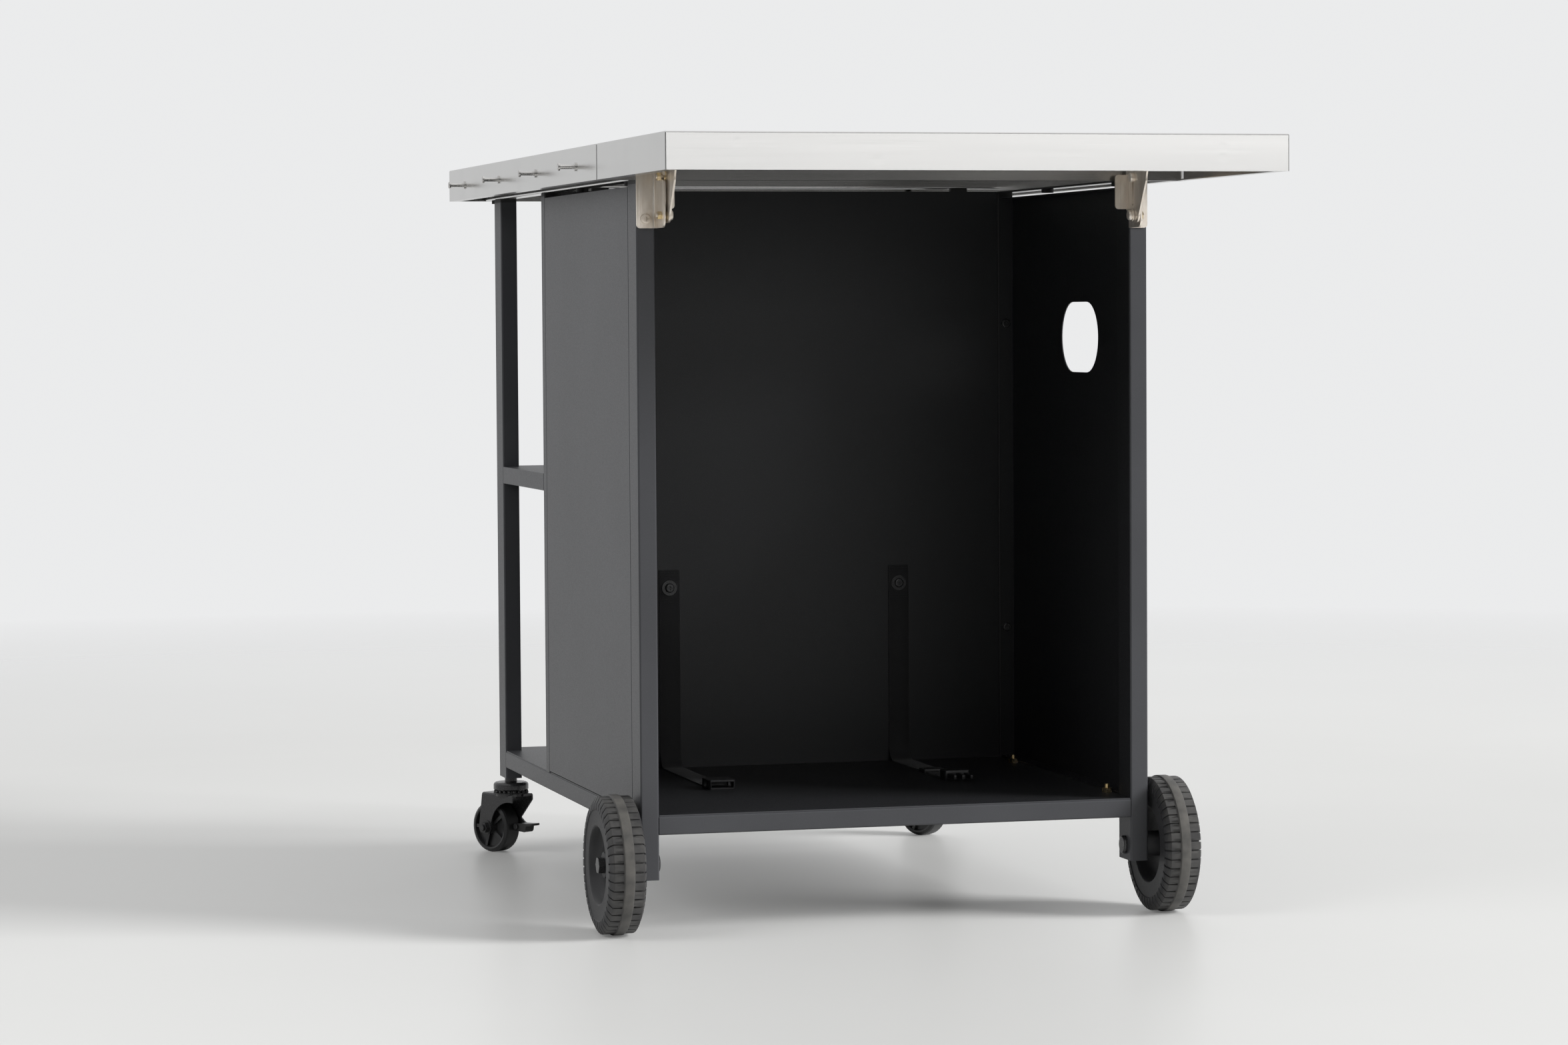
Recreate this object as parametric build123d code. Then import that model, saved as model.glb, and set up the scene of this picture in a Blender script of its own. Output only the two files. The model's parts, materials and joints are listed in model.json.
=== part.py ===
from build123d import *
from math import radians, sin
import os

# Rolling grill table. Millimetres, +Z up, the drop leaf toward -Y.
# The origin lies on the floor under the middle of the overall box.

# Clearances
RUN_FIT = 0.05
HOLE_SLIP = 0.2
SIDE_PLAY = 0.3

# Cabinet frame
CABINET_W = 570.0
CABINET_D = 770.0
LEG_W = 20.0
LEG_D = 40.0
TUBE_WALL = 1.5
TUBE_CORNER = 2.0
FRONT_FOOT_Z = 59.0
REAR_FOOT_Z = 94.0
LEG_DROP = 42.0
RAIL_Z = 107.0
RAIL_H = 20.0
POST_D = 20.0
BOTTLE_BAY_D = 470.0
SHEET = 1.2
PLUG_DEPTH = 30.0

# Shelves and panels
MID_SHELF_Z = 476.0
SHELF_LIP = 20.0
CROSSBAR_YS = (55.0, 389.5)
SHELF_BOLT_INSET = 25.0
SHELF_BOLT_R = 3.0
SHELF_BOLT_RISE = 9.5
SHELF_NUT_W = 10.0
SHELF_NUT_L = 5.0
PANEL_LIFT = 1.3
PANEL_DROP = 44.0
PANEL_FLANGE = 18.5
SKIN_EDGE_R = 1.0
CORNER_RELIEF = 3.0
PARTITION_SETBACK = 1.0
PARTITION_DROP = 36.0
PARTITION_FLANGE = 14.0
HOSE_HOLE_L = 128.0
HOSE_HOLE_H = 80.0
HOSE_HOLE_Y = 223.0
HOSE_HOLE_Z = 631.5
PANEL_SCREW_ZS = (284.0, 647.0)
SCREW_R = 2.5
SCREW_HEAD_R = 5.5
SCREW_HEAD_H = 3.0
SCREW_LENGTH = 8.0
RECESS_L = 5.0
RECESS_W = 1.1
RECESS_DEPTH = 1.6

# Worktop
TOP_Z = 840.0
LIP_H = 38.0
LIP_RETURN = 12.0
PAN_EDGE_R = 1.5
SIDE_OVERHANG = 42.5
REAR_OVERHANG = 71.0
LEAF_REACH = 312.0
SEAM_GAP = 3.0
MAIN_SETBACK = 0.3
LEAF_REAR_FLANGE = 12.0
PAD_T = 4.0
STIFFENER_START = 15.0
STIFFENER_END_GAP = 15.0
CROSS_STIFFENER_GAP = 3.5
CROSS_PAD_X = 218.0
CROSS_PAD_L = 20.0
CROSS_PAD_D = 8.0
BUMPER_R = 7.0
BUMPER_FRONT_YS = (66.0, 310.0)
BUMPER_REAR_Y = 30.0

# Tool pegs
PEG_YS = (102.0, 314.0, 526.0, 738.0)
PEG_DROP = 21.0
PEG_REACH = 20.0
PEG_R = 2.25
PEG_HEAD_R = 4.0
PEG_HEAD_L = 2.5
PEG_COLLAR_R = 4.5
PEG_COLLAR_L = 1.5
PEG_NUT_W = 7.0
PEG_NUT_L = 3.0

# Leaf brackets
BRACKET_T = 2.0
BRACKET_DROP = 28.0
BRACKET_H = 61.0
BRACKET_REACH = 42.0
BRACKET_CORNER_R = 8.0
BRACKET_BEND_R = 3.0
BRACKET_SCREW_RISE = 10.0
PIVOT_AHEAD = 30.0
PIVOT_RISE = 13.0
LOCK_RISE = 40.5
BOLT_R = 2.5
BOLT_END = 1.5
BOLT_NUT_W = 8.0
BOLT_NUT_L = 4.0
SPACER_R = 6.0
SPACER_L = 2.2
WASHER_R = 6.5
WASHER_T = 1.5
BOLT_HEAD_R = 5.5
BOLT_HEAD_L = 4.2

# Leaf arms
ARM_T = 2.0
ARM_END_R = 8.0
ARM_END_AHEAD = 18.0
ARM_END_BEHIND = 6.0
ARM_REAR = 8.0
ARM_RETURN_W = 13.0
ARM_RETURN_RISE = 7.0
ARM_RETURN_H = 37.0
ARM_RETURN_CORNER = 4.0
ARM_SLOT_RISE = 13.0
ARM_NECK_Y = 71.0
ARM_NECK_RISE = 36.0
ARM_BEND_Y = 92.0
ARM_WEB_H = 20.0
ARM_TIP_Y = 290.0
ARM_TIP_H = 14.0
ARM_FLANGE_W = 14.0

# Front wheels
WHEEL_R = 75.0
WHEEL_W = 40.0
WHEEL_GAP = 4.5
TREAD_DROP = 1.6
RIB_HALF = 5.0
SHOULDER_HALF = 16.5
SIDEWALL_R = 66.0
RIM_R = 59.0
RIM_SINK = 1.0
DISH_R = 42.0
DISH_EDGE_R = 2.5
DISH_FLOOR_R = 36.0
DISH_CURVE_R = 11.0
WEB_HALF = 6.0
HUB_R = 14.0
HUB_OUTER_HALF = 12.0
LUG_COUNT = 46
LUG_GAP = 1.6
LUG_DEPTH = 1.8
SIDE_LUG_DEPTH = 1.5
AXLE_R = 5.0
AXLE_HEAD_R = 10.0
AXLE_HEAD_L = 4.0
AXLE_NUT_W = 16.0
AXLE_NUT_L = 6.5

# Casters
CASTER_WHEEL_R = 31.0
CASTER_WHEEL_W = 24.0
CASTER_TRAIL = 27.0
CASTER_TURN = 32.0
STEM_R = 7.5
STEM_RISE = 24.0
CUP_R = 21.5
CUP_Z0 = 79.3
CUP_Z1 = 88.0
CUP_WALL = 2.0
CUP_EDGE_R = 4.0
RACE_R = 17.0
RACE_IN_R = 11.0
RACE_H = 3.6
KING_PIN_R = 5.0
KING_HEAD_R = 8.0
KING_HEAD_H = 2.5
FORK_TOP_Z = 74.0
FORK_PLATE_T = 3.0
FORK_SIDE_T = 2.0
FORK_HALF = 14.0
FORK_BEND_R = 3.0
FORK_FRONT = 18.0
FORK_REAR = 35.0
FORK_EYE_R = 10.8
FORK_EYE_U = 29.8
FORK_EYE_Z = 33.5
FORK_ARCH_R = 33.0
FORK_ARCH_U = 13.0
FORK_NOSE_U = 22.0
FORK_NOSE_Z = 66.0
FORK_WAIST_U = 2.0
FORK_WAIST_Z = 43.0
CASTER_AXLE_R = 4.0
CASTER_AXLE_END = 2.5
CASTER_WASHER_R = 8.5
CASTER_WASHER_T = 1.5
CASTER_NUT_W = 12.0
CASTER_NUT_L = 5.5
CASTER_HUB_R = 9.0
CASTER_SPOKES = 5
CASTER_SPOKE_W = 4.0
CASTER_RIM_R = 24.0
CASTER_SINK = 5.0
CASTER_TREAD_R = 4.0

# Brake pedals
PEDAL_PIN_U = 9.0
PEDAL_PIN_Z = 33.0
PEDAL_PIN_R = 2.0
PEDAL_PIN_HEAD_R = 3.5
PEDAL_PIN_HEAD_L = 1.5
PEDAL_HUB_R = 4.0
PEDAL_LOBE_R = 4.5
PEDAL_W = 14.0
PEDAL_CORNER_R = 4.0
PEDAL_TOE = 3.6
PEDAL_TOE_DROP = 5.0
PEDAL_BLOCK = 16.0
PEDAL_REACH = 29.0
PEDAL_TIP_RISE = 5.5
PEDAL_TIP_T = 2.6

# Bottle strap
STRAP_W = 38.0
STRAP_T = 1.6
STRAP_SPREAD = 140.0
STRAP_ANCHOR_Z = 340.0
STRAP_TAB = 22.0
STRAP_BEND_R = 20.0
STRAP_RUN = 215.0
STRAP_WASHER_R = 9.0
BUCKLE_W = 48.0
BUCKLE_L = 36.0
BUCKLE_H = 11.0
BUCKLE_WALL = 2.2
CLIP_L = 20.0
PRONG_L = 24.0
PRONG_W = 7.0
PRONG_H = 5.0
GUIDE_W = 6.0
SLIDER_L = 22.0
SLIDER_BACK = 60.0
SLIDER_T = 3.0

# Datums from the driving sizes
LEFT_REACH = SIDE_OVERHANG + PEG_REACH
RIGHT_REACH = WHEEL_GAP + WHEEL_W
X_MID = (LEFT_REACH - RIGHT_REACH) / 2
LEFT = X_MID - CABINET_W / 2
RIGHT = X_MID + CABINET_W / 2
FRONT = (LEAF_REACH - CABINET_D - REAR_OVERHANG) / 2
REAR = FRONT + CABINET_D
TOP_LEFT = LEFT - SIDE_OVERHANG
TOP_RIGHT = RIGHT + SIDE_OVERHANG
TOP_UNDER = TOP_Z - SHEET
LIP_Z = TOP_Z - LIP_H
RAIL_TOP = RAIL_Z + RAIL_H
FLOOR_Z = RAIL_TOP + SHEET
POST_Y = FRONT + BOTTLE_BAY_D
POST_REAR = POST_Y + POST_D
PARTITION_Y = POST_Y + PARTITION_SETBACK
LEG_TOP_Z = TOP_Z - LEG_DROP
PANEL_TOP_Z = TOP_Z - PANEL_DROP
PARTITION_TOP_Z = TOP_Z - PARTITION_DROP
STIFF_Z = LEG_TOP_Z + PAD_T
INNER_LEFT = LEFT + LEG_W
INNER_RIGHT = RIGHT - LEG_W
AXLE_Y = FRONT + LEG_D / 2
BRACKET_Z1 = TOP_Z - BRACKET_DROP
BRACKET_Z0 = BRACKET_Z1 - BRACKET_H
BRACKET_SCREW_Z = BRACKET_Z0 + BRACKET_SCREW_RISE
PIVOT_Y = FRONT - PIVOT_AHEAD
PIVOT_Z = BRACKET_Z0 + PIVOT_RISE
LOCK_Z = PIVOT_Z + LOCK_RISE
SLOT_HALF = BOLT_R + SIDE_PLAY
BOLT_X = INNER_LEFT - BOLT_NUT_L - BOLT_END
ARM_RETURN_Z0 = PIVOT_Z + ARM_RETURN_RISE
ARM_RETURN_Z1 = ARM_RETURN_Z0 + ARM_RETURN_H
ARM_NECK_Z = PIVOT_Z + ARM_NECK_RISE
FLANGE_IN = INNER_LEFT + BRACKET_T
ARM_OUT = FLANGE_IN + SPACER_L + SIDE_PLAY
ARM_IN = ARM_OUT + ARM_T
STEM_Y = REAR - LEG_D / 2


def block(x0, x1, y0, y1, z0, z1):
    middle = Pos((x0 + x1) / 2, (y0 + y1) / 2, (z0 + z1) / 2)
    return middle * Box(x1 - x0, y1 - y0, z1 - z0)


def rod_x(x0, x1, y, z, radius):
    return Pos((x0 + x1) / 2, y, z) * Rot(0, 90, 0) * Cylinder(radius, x1 - x0)


def rod_y(x, y0, y1, z, radius):
    return Pos(x, (y0 + y1) / 2, z) * Rot(90, 0, 0) * Cylinder(radius, y1 - y0)


def rod_z(x, y, z0, z1, radius):
    return Pos(x, y, (z0 + z1) / 2) * Cylinder(radius, z1 - z0)


def hex_x(x0, x1, y, z, width):
    face = Plane.YZ * RegularPolygon(width / 2, 6, major_radius=False)
    return Pos(x0, y, z) * extrude(face, x1 - x0)


def hex_z(x, y, z0, z1, width):
    return Pos(x, y, z0) * extrude(RegularPolygon(width / 2, 6, major_radius=False), z1 - z0)


def tube(x0, x1, y0, y1, z0, z1, along):
    sizes = {"x": x1 - x0, "y": y1 - y0, "z": z1 - z0}
    planes = {"x": Plane.YZ, "y": Plane.XZ, "z": Plane.XY}
    width, depth = [sizes[name] for name in sizes if name != along]
    outer = RectangleRounded(width, depth, TUBE_CORNER)
    inner = RectangleRounded(width - 2 * TUBE_WALL, depth - 2 * TUBE_WALL, TUBE_CORNER - TUBE_WALL)
    body = extrude(planes[along] * (outer - inner), sizes[along] / 2, both=True)
    return Pos((x0 + x1) / 2, (y0 + y1) / 2, (z0 + z1) / 2) * body


def mirrored(shape):
    return mirror(shape, about=Plane.YZ.offset(X_MID))


def group(shapes):
    return Compound(children=[solid for shape in shapes for solid in shape.solids()])


def both_sides(shapes):
    return group(shapes + [mirrored(shape) for shape in shapes])


def domed_x(x0, x1, y, z, radius, round_end):
    head = rod_x(x0, x1, y, z, radius)
    rim = head.edges().filter_by(GeomType.CIRCLE).sort_by(Axis.X)[round_end]
    return fillet(rim, 0.45 * abs(x1 - x0))


def front_leg():
    leg = tube(LEFT, INNER_LEFT, FRONT, FRONT + LEG_D, FRONT_FOOT_Z, LEG_TOP_Z, "z")
    leg -= rod_x(LEFT - 1, INNER_LEFT + 1, AXLE_Y, WHEEL_R, AXLE_R + HOLE_SLIP)
    leg -= rod_y(LEFT + LEG_W / 2, FRONT - 1, FRONT + LEG_D / 2, BRACKET_SCREW_Z, SCREW_R + HOLE_SLIP)
    for z in PANEL_SCREW_ZS:
        leg -= rod_y(LEFT + LEG_W / 2, FRONT + LEG_D / 2, FRONT + LEG_D + 1, z, SCREW_R + HOLE_SLIP)
    return leg


def rear_leg():
    return tube(LEFT, INNER_LEFT, REAR - LEG_D, REAR, REAR_FOOT_Z, LEG_TOP_Z, "z")


def mid_post():
    post = tube(LEFT, INNER_LEFT, POST_Y, POST_REAR, RAIL_TOP, LEG_TOP_Z, "z")
    for z in PANEL_SCREW_ZS:
        post -= rod_y(LEFT + LEG_W / 2, POST_Y - 1, POST_Y + POST_D / 2, z, SCREW_R + HOLE_SLIP)
    return post


def leg_plug(y0, foot_z, bore):
    inset = TUBE_WALL + HOLE_SLIP
    plug = block(LEFT + inset, INNER_LEFT - inset, y0 + inset, y0 + LEG_D - inset, foot_z, foot_z + PLUG_DEPTH)
    return plug - bore


def base_rail_side():
    return tube(LEFT, INNER_LEFT, FRONT + LEG_D, REAR - LEG_D, RAIL_Z, RAIL_TOP, "y")


def base_rail_cross(y0):
    return tube(INNER_LEFT, INNER_RIGHT, y0, y0 + RAIL_H, RAIL_Z, RAIL_TOP, "x")


def shelf_bolt_points():
    xs = (LEFT + SHELF_BOLT_INSET, RIGHT - SHELF_BOLT_INSET)
    return [(x, FRONT + y + RAIL_H / 2) for x in xs for y in CROSSBAR_YS]


def crossbars():
    bars = []
    for y in CROSSBAR_YS:
        bar = base_rail_cross(FRONT + y)
        for bolt_x, bolt_y in shelf_bolt_points():
            bar -= rod_z(bolt_x, bolt_y, RAIL_Z - 1, RAIL_TOP + 1, SHELF_BOLT_R + HOLE_SLIP)
        bars.append(bar)
    return group(bars)


def shelf_bolts():
    bolts = []
    for x, y in shelf_bolt_points():
        shank = rod_z(x, y, RAIL_Z, FLOOR_Z + SHELF_BOLT_RISE, SHELF_BOLT_R)
        head = hex_z(x, y, RAIL_Z - SHELF_NUT_L, RAIL_Z, SHELF_NUT_W)
        nut = hex_z(x, y, FLOOR_Z, FLOOR_Z + SHELF_NUT_L, SHELF_NUT_W)
        bolts.append(shank + head)
        bolts.append(nut - rod_z(x, y, FLOOR_Z - 1, FLOOR_Z + SHELF_NUT_L + 1, SHELF_BOLT_R + RUN_FIT))
    return group(bolts)


def bottom_shelf():
    edge = 1.0
    plate = block(LEFT + edge, RIGHT - edge, FRONT + edge, REAR - edge, RAIL_TOP, FLOOR_Z)
    slack = SIDE_PLAY
    cuts = [(FRONT, FRONT + LEG_D + slack), (POST_Y - slack, POST_REAR + slack), (REAR - LEG_D - slack, REAR)]
    for y0, y1 in cuts:
        plate -= block(LEFT, INNER_LEFT + slack, y0, y1, RAIL_TOP, FLOOR_Z)
        plate -= block(INNER_RIGHT - slack, RIGHT, y0, y1, RAIL_TOP, FLOOR_Z)
    for x, y in shelf_bolt_points():
        plate -= rod_z(x, y, RAIL_TOP, FLOOR_Z, SHELF_BOLT_R + HOLE_SLIP)
    return plate


def mid_shelf():
    y1 = REAR - 1.0
    z0 = MID_SHELF_Z - SHELF_LIP
    tray = block(LEFT, RIGHT, POST_REAR, y1, z0, MID_SHELF_Z)
    notch_y = REAR - LEG_D - SIDE_PLAY
    tray -= block(LEFT, INNER_LEFT + SIDE_PLAY, notch_y, y1, z0, MID_SHELF_Z)
    tray -= block(INNER_RIGHT - SIDE_PLAY, RIGHT, notch_y, y1, z0, MID_SHELF_Z)
    under = MID_SHELF_Z - SHEET
    tray -= block(LEFT + SHEET, RIGHT - SHEET, POST_REAR + SHEET, notch_y - SHEET, z0, under)
    inset = LEG_W + SIDE_PLAY + SHEET
    return tray - block(LEFT + inset, RIGHT - inset, POST_REAR + SHEET, y1 - SHEET, z0, under)


def side_skin():
    z0 = FLOOR_Z + PANEL_LIFT
    skin = block(LEFT, LEFT + SHEET, FRONT + LEG_D, POST_Y, z0, PANEL_TOP_Z)
    corners = skin.edges().filter_by(Axis.Z).group_by(Axis.X)[0]
    return fillet(corners, SKIN_EDGE_R)


def panel_flanges():
    x0 = LEFT + SHEET
    x1 = LEFT + PANEL_FLANGE
    y0 = FRONT + LEG_D
    z0 = FLOOR_Z + PANEL_LIFT
    front = block(x0, x1, y0, y0 + SHEET, z0, PANEL_TOP_Z)
    rear = block(x0, x1, POST_Y - SHEET, POST_Y, z0, PANEL_TOP_Z)
    for z in PANEL_SCREW_ZS:
        hole = rod_y(LEFT + LEG_W / 2, y0, POST_Y, z, SCREW_R + HOLE_SLIP)
        front -= hole
        rear -= hole
    inset = SHEET + CORNER_RELIEF
    bottom = block(x0, x1, y0 + inset, POST_Y - inset, z0, z0 + SHEET)
    top = block(x0, x1, y0 + inset, POST_Y - inset, PANEL_TOP_Z - SHEET, PANEL_TOP_Z)
    return both_sides([front, rear, bottom, top])


def hose_hole():
    slot = Plane.YZ * SlotOverall(HOSE_HOLE_L, HOSE_HOLE_H)
    return Pos(RIGHT, FRONT + HOSE_HOLE_Y, HOSE_HOLE_Z) * extrude(slot, 4 * SHEET, both=True)


def panel_screws():
    x = LEFT + LEG_W / 2
    screws = []
    for z in PANEL_SCREW_ZS:
        rear_face = POST_Y - SHEET
        rear = rod_y(x, rear_face, rear_face + SCREW_LENGTH, z, SCREW_R)
        screws.append(rear + screw_head(x, rear_face, z, -1))
        front_face = FRONT + LEG_D + SHEET
        front = rod_y(x, front_face - SCREW_LENGTH, front_face, z, SCREW_R)
        screws.append(front + screw_head(x, front_face, z, 1))
    return both_sides(screws)


def screw_head(x, y, z, out):
    head = rod_y(x, min(y, y + out * SCREW_HEAD_H), max(y, y + out * SCREW_HEAD_H), z, SCREW_HEAD_R)
    rims = head.edges().filter_by(GeomType.CIRCLE).sort_by(Axis.Y)
    rim = rims[-1] if out > 0 else rims[0]
    head = fillet(rim, 0.6 * SCREW_HEAD_H)
    face = y + out * SCREW_HEAD_H
    cross = Box(RECESS_L, 2 * RECESS_DEPTH, RECESS_W) + Box(RECESS_W, 2 * RECESS_DEPTH, RECESS_L)
    return head - Pos(x, face, z) * cross


def partition_panel():
    y1 = PARTITION_Y + PARTITION_FLANGE
    panel = block(INNER_LEFT, INNER_RIGHT, PARTITION_Y, y1, FLOOR_Z, PARTITION_TOP_Z)
    inner_x = (INNER_LEFT + SHEET, INNER_RIGHT - SHEET)
    panel -= block(*inner_x, PARTITION_Y + SHEET, y1, FLOOR_Z + SHEET, PARTITION_TOP_Z - SHEET)
    for side in (-1, 1):
        x = X_MID + side * STRAP_SPREAD
        panel -= rod_y(x, PARTITION_Y - 1, PARTITION_Y + SHEET + 1, STRAP_ANCHOR_Z, SCREW_R + HOLE_SLIP)
    return panel


def pan(y0, y1):
    shell = block(TOP_LEFT, TOP_RIGHT, y0, y1, LIP_Z, TOP_Z)
    rims = shell.edges().filter_by(Axis.Z) + shell.faces().sort_by(Axis.Z)[-1].edges()
    shell = fillet(rims, PAN_EDGE_R)
    inner = block(TOP_LEFT + SHEET, TOP_RIGHT - SHEET, y0 + SHEET, y1 - SHEET, LIP_Z + SHEET, TOP_UNDER)
    mouth_x = (TOP_LEFT + LIP_RETURN, TOP_RIGHT - LIP_RETURN)
    mouth = block(*mouth_x, y0 + LIP_RETURN, y1 - LIP_RETURN, LIP_Z, TOP_UNDER)
    return shell - inner - mouth


def main_top():
    top = pan(FRONT + MAIN_SETBACK, REAR + REAR_OVERHANG)
    for y in PEG_YS:
        top -= rod_x(TOP_LEFT - 1, TOP_LEFT + SHEET + 1, FRONT + y, TOP_Z - PEG_DROP, PEG_R + HOLE_SLIP)
    return top


def leaf_top():
    y0 = FRONT - LEAF_REACH
    y1 = FRONT - SEAM_GAP
    leaf = pan(y0, y1)
    flange_z = TOP_UNDER - LEAF_REAR_FLANGE
    edge = TOP_LEFT + SHEET
    leaf -= block(edge, TOP_RIGHT - SHEET, y1 - LIP_RETURN, y1, LIP_Z, LIP_Z + SHEET)
    return leaf - block(edge, TOP_RIGHT - SHEET, y1 - SHEET, y1, LIP_Z, flange_z)


def top_stiffener():
    y0 = FRONT + STIFFENER_START
    y1 = REAR + REAR_OVERHANG - STIFFENER_END_GAP
    return tube(LEFT, INNER_LEFT, y0, y1, STIFF_Z, TOP_UNDER, "y")


def cross_stiffener():
    return tube(INNER_LEFT, INNER_RIGHT, POST_Y, POST_REAR, PARTITION_TOP_Z + CROSS_STIFFENER_GAP, TOP_UNDER, "x")


def leg_pads():
    spans = [(FRONT, FRONT + LEG_D), (POST_Y, POST_REAR), (REAR - LEG_D, REAR)]
    pads = [block(LEFT, INNER_LEFT, y0, y1, LEG_TOP_Z, STIFF_Z) for y0, y1 in spans]
    pads = [fillet(pad.edges().filter_by(Axis.Z), TUBE_CORNER) for pad in pads]
    x = X_MID - CROSS_PAD_X
    z1 = PARTITION_TOP_Z + CROSS_STIFFENER_GAP
    y1 = PARTITION_Y + CROSS_PAD_D
    pads.append(block(x - CROSS_PAD_L / 2, x + CROSS_PAD_L / 2, PARTITION_Y, y1, PARTITION_TOP_Z, z1))
    return both_sides(pads)


def bumpers():
    x = LEFT + LEG_W / 2
    ys = [FRONT + y for y in BUMPER_FRONT_YS] + [REAR + BUMPER_REAR_Y]
    return both_sides([rod_z(x, y, STIFF_Z - PAD_T, STIFF_Z, BUMPER_R) for y in ys])


def tool_pegs():
    pegs = []
    z = TOP_Z - PEG_DROP
    tip = TOP_LEFT - PEG_REACH
    inside = TOP_LEFT + SHEET
    for y in PEG_YS:
        shank = rod_x(tip, inside + PEG_NUT_L + 1, FRONT + y, z, PEG_R)
        head = domed_x(tip, tip + PEG_HEAD_L, FRONT + y, z, PEG_HEAD_R, 0)
        collar = rod_x(TOP_LEFT - PEG_COLLAR_L, TOP_LEFT, FRONT + y, z, PEG_COLLAR_R)
        nut = hex_x(inside, inside + PEG_NUT_L, FRONT + y, z, PEG_NUT_W)
        pegs.append(shank + head + collar)
        pegs.append(nut - rod_x(inside - 1, inside + PEG_NUT_L + 1, FRONT + y, z, PEG_R + RUN_FIT))
    return group(pegs)


def leaf_bracket():
    front = block(LEFT, FLANGE_IN, FRONT - BRACKET_T, FRONT, BRACKET_Z0, BRACKET_Z1)
    front = fillet(front.edges().filter_by(Axis.Y).group_by(Axis.X)[0], BRACKET_CORNER_R / 2)
    side = block(INNER_LEFT, FLANGE_IN, FRONT - BRACKET_REACH, FRONT, BRACKET_Z0, BRACKET_Z1)
    side = fillet(side.edges().filter_by(Axis.X).group_by(Axis.Y)[0], BRACKET_CORNER_R)
    x0 = INNER_LEFT - 1
    x1 = FLANGE_IN + 1
    side -= rod_x(x0, x1, PIVOT_Y, PIVOT_Z, BOLT_R + HOLE_SLIP)
    ring = rod_x(x0, x1, PIVOT_Y, PIVOT_Z, LOCK_RISE + SLOT_HALF)
    ring -= rod_x(x0, x1, PIVOT_Y, PIVOT_Z, LOCK_RISE - SLOT_HALF)
    sweep = ring & block(x0, x1, PIVOT_Y - LOCK_RISE, PIVOT_Y, PIVOT_Z + LOCK_RISE / 2, LOCK_Z + SLOT_HALF)
    side -= sweep
    side -= rod_x(x0, x1, PIVOT_Y, LOCK_Z, SLOT_HALF)
    hole = rod_y(LEFT + LEG_W / 2, FRONT - BRACKET_T - 1, FRONT + 1, BRACKET_SCREW_Z, SCREW_R + HOLE_SLIP)
    heights = (BRACKET_Z0, BRACKET_Z1)
    bend_x = INNER_LEFT - BRACKET_BEND_R
    bend_y = FRONT - BRACKET_T - BRACKET_BEND_R
    inside = block(bend_x, INNER_LEFT, bend_y, FRONT - BRACKET_T, *heights)
    inside -= rod_z(bend_x, bend_y, *heights, BRACKET_BEND_R)
    outside = block(bend_x, FLANGE_IN, bend_y, FRONT, *heights)
    outside -= rod_z(bend_x, bend_y, *heights, BRACKET_BEND_R + BRACKET_T)
    outside -= block(bend_x, INNER_LEFT, bend_y, FRONT - BRACKET_T, *heights)
    return front + side + inside - outside - hole


def bracket_screws():
    x = LEFT + LEG_W / 2
    face = FRONT - BRACKET_T
    shank = rod_y(x, face, face + SCREW_LENGTH, BRACKET_SCREW_Z, SCREW_R)
    return both_sides([shank + screw_head(x, face, BRACKET_SCREW_Z, -1)])


def pivot_bolts():
    washer_x = ARM_IN + SIDE_PLAY
    head_x = washer_x + WASHER_T
    bolt = rod_x(BOLT_X, head_x, PIVOT_Y, PIVOT_Z, BOLT_R)
    bolt += domed_x(head_x, head_x + BOLT_HEAD_L, PIVOT_Y, PIVOT_Z, BOLT_HEAD_R, -1)
    bolt += rod_x(washer_x, head_x, PIVOT_Y, PIVOT_Z, WASHER_R)
    return both_sides([bolt])


def pivot_nuts():
    nut = hex_x(INNER_LEFT - BOLT_NUT_L, INNER_LEFT, PIVOT_Y, PIVOT_Z, BOLT_NUT_W)
    spacer = rod_x(FLANGE_IN, FLANGE_IN + SPACER_L, PIVOT_Y, PIVOT_Z, SPACER_R)
    bore = rod_x(BOLT_X, ARM_IN, PIVOT_Y, PIVOT_Z, BOLT_R + RUN_FIT)
    return both_sides([nut - bore, spacer - bore])


def lock_bolts():
    bolt = rod_x(BOLT_X - SIDE_PLAY, ARM_IN, PIVOT_Y, LOCK_Z, BOLT_R)
    bolt += domed_x(ARM_IN, ARM_IN + BOLT_HEAD_L, PIVOT_Y, LOCK_Z, BOLT_HEAD_R, -1)
    return both_sides([bolt])


def lock_nuts():
    nut_x = INNER_LEFT - SIDE_PLAY
    nut = hex_x(nut_x - BOLT_NUT_L, nut_x, PIVOT_Y, LOCK_Z, BOLT_NUT_W)
    spacer = rod_x(FLANGE_IN + SIDE_PLAY, ARM_OUT, PIVOT_Y, LOCK_Z, SPACER_R)
    bore = rod_x(BOLT_X - 1, ARM_IN, PIVOT_Y, LOCK_Z, BOLT_R + RUN_FIT)
    return both_sides([nut - bore, spacer - bore])


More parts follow.
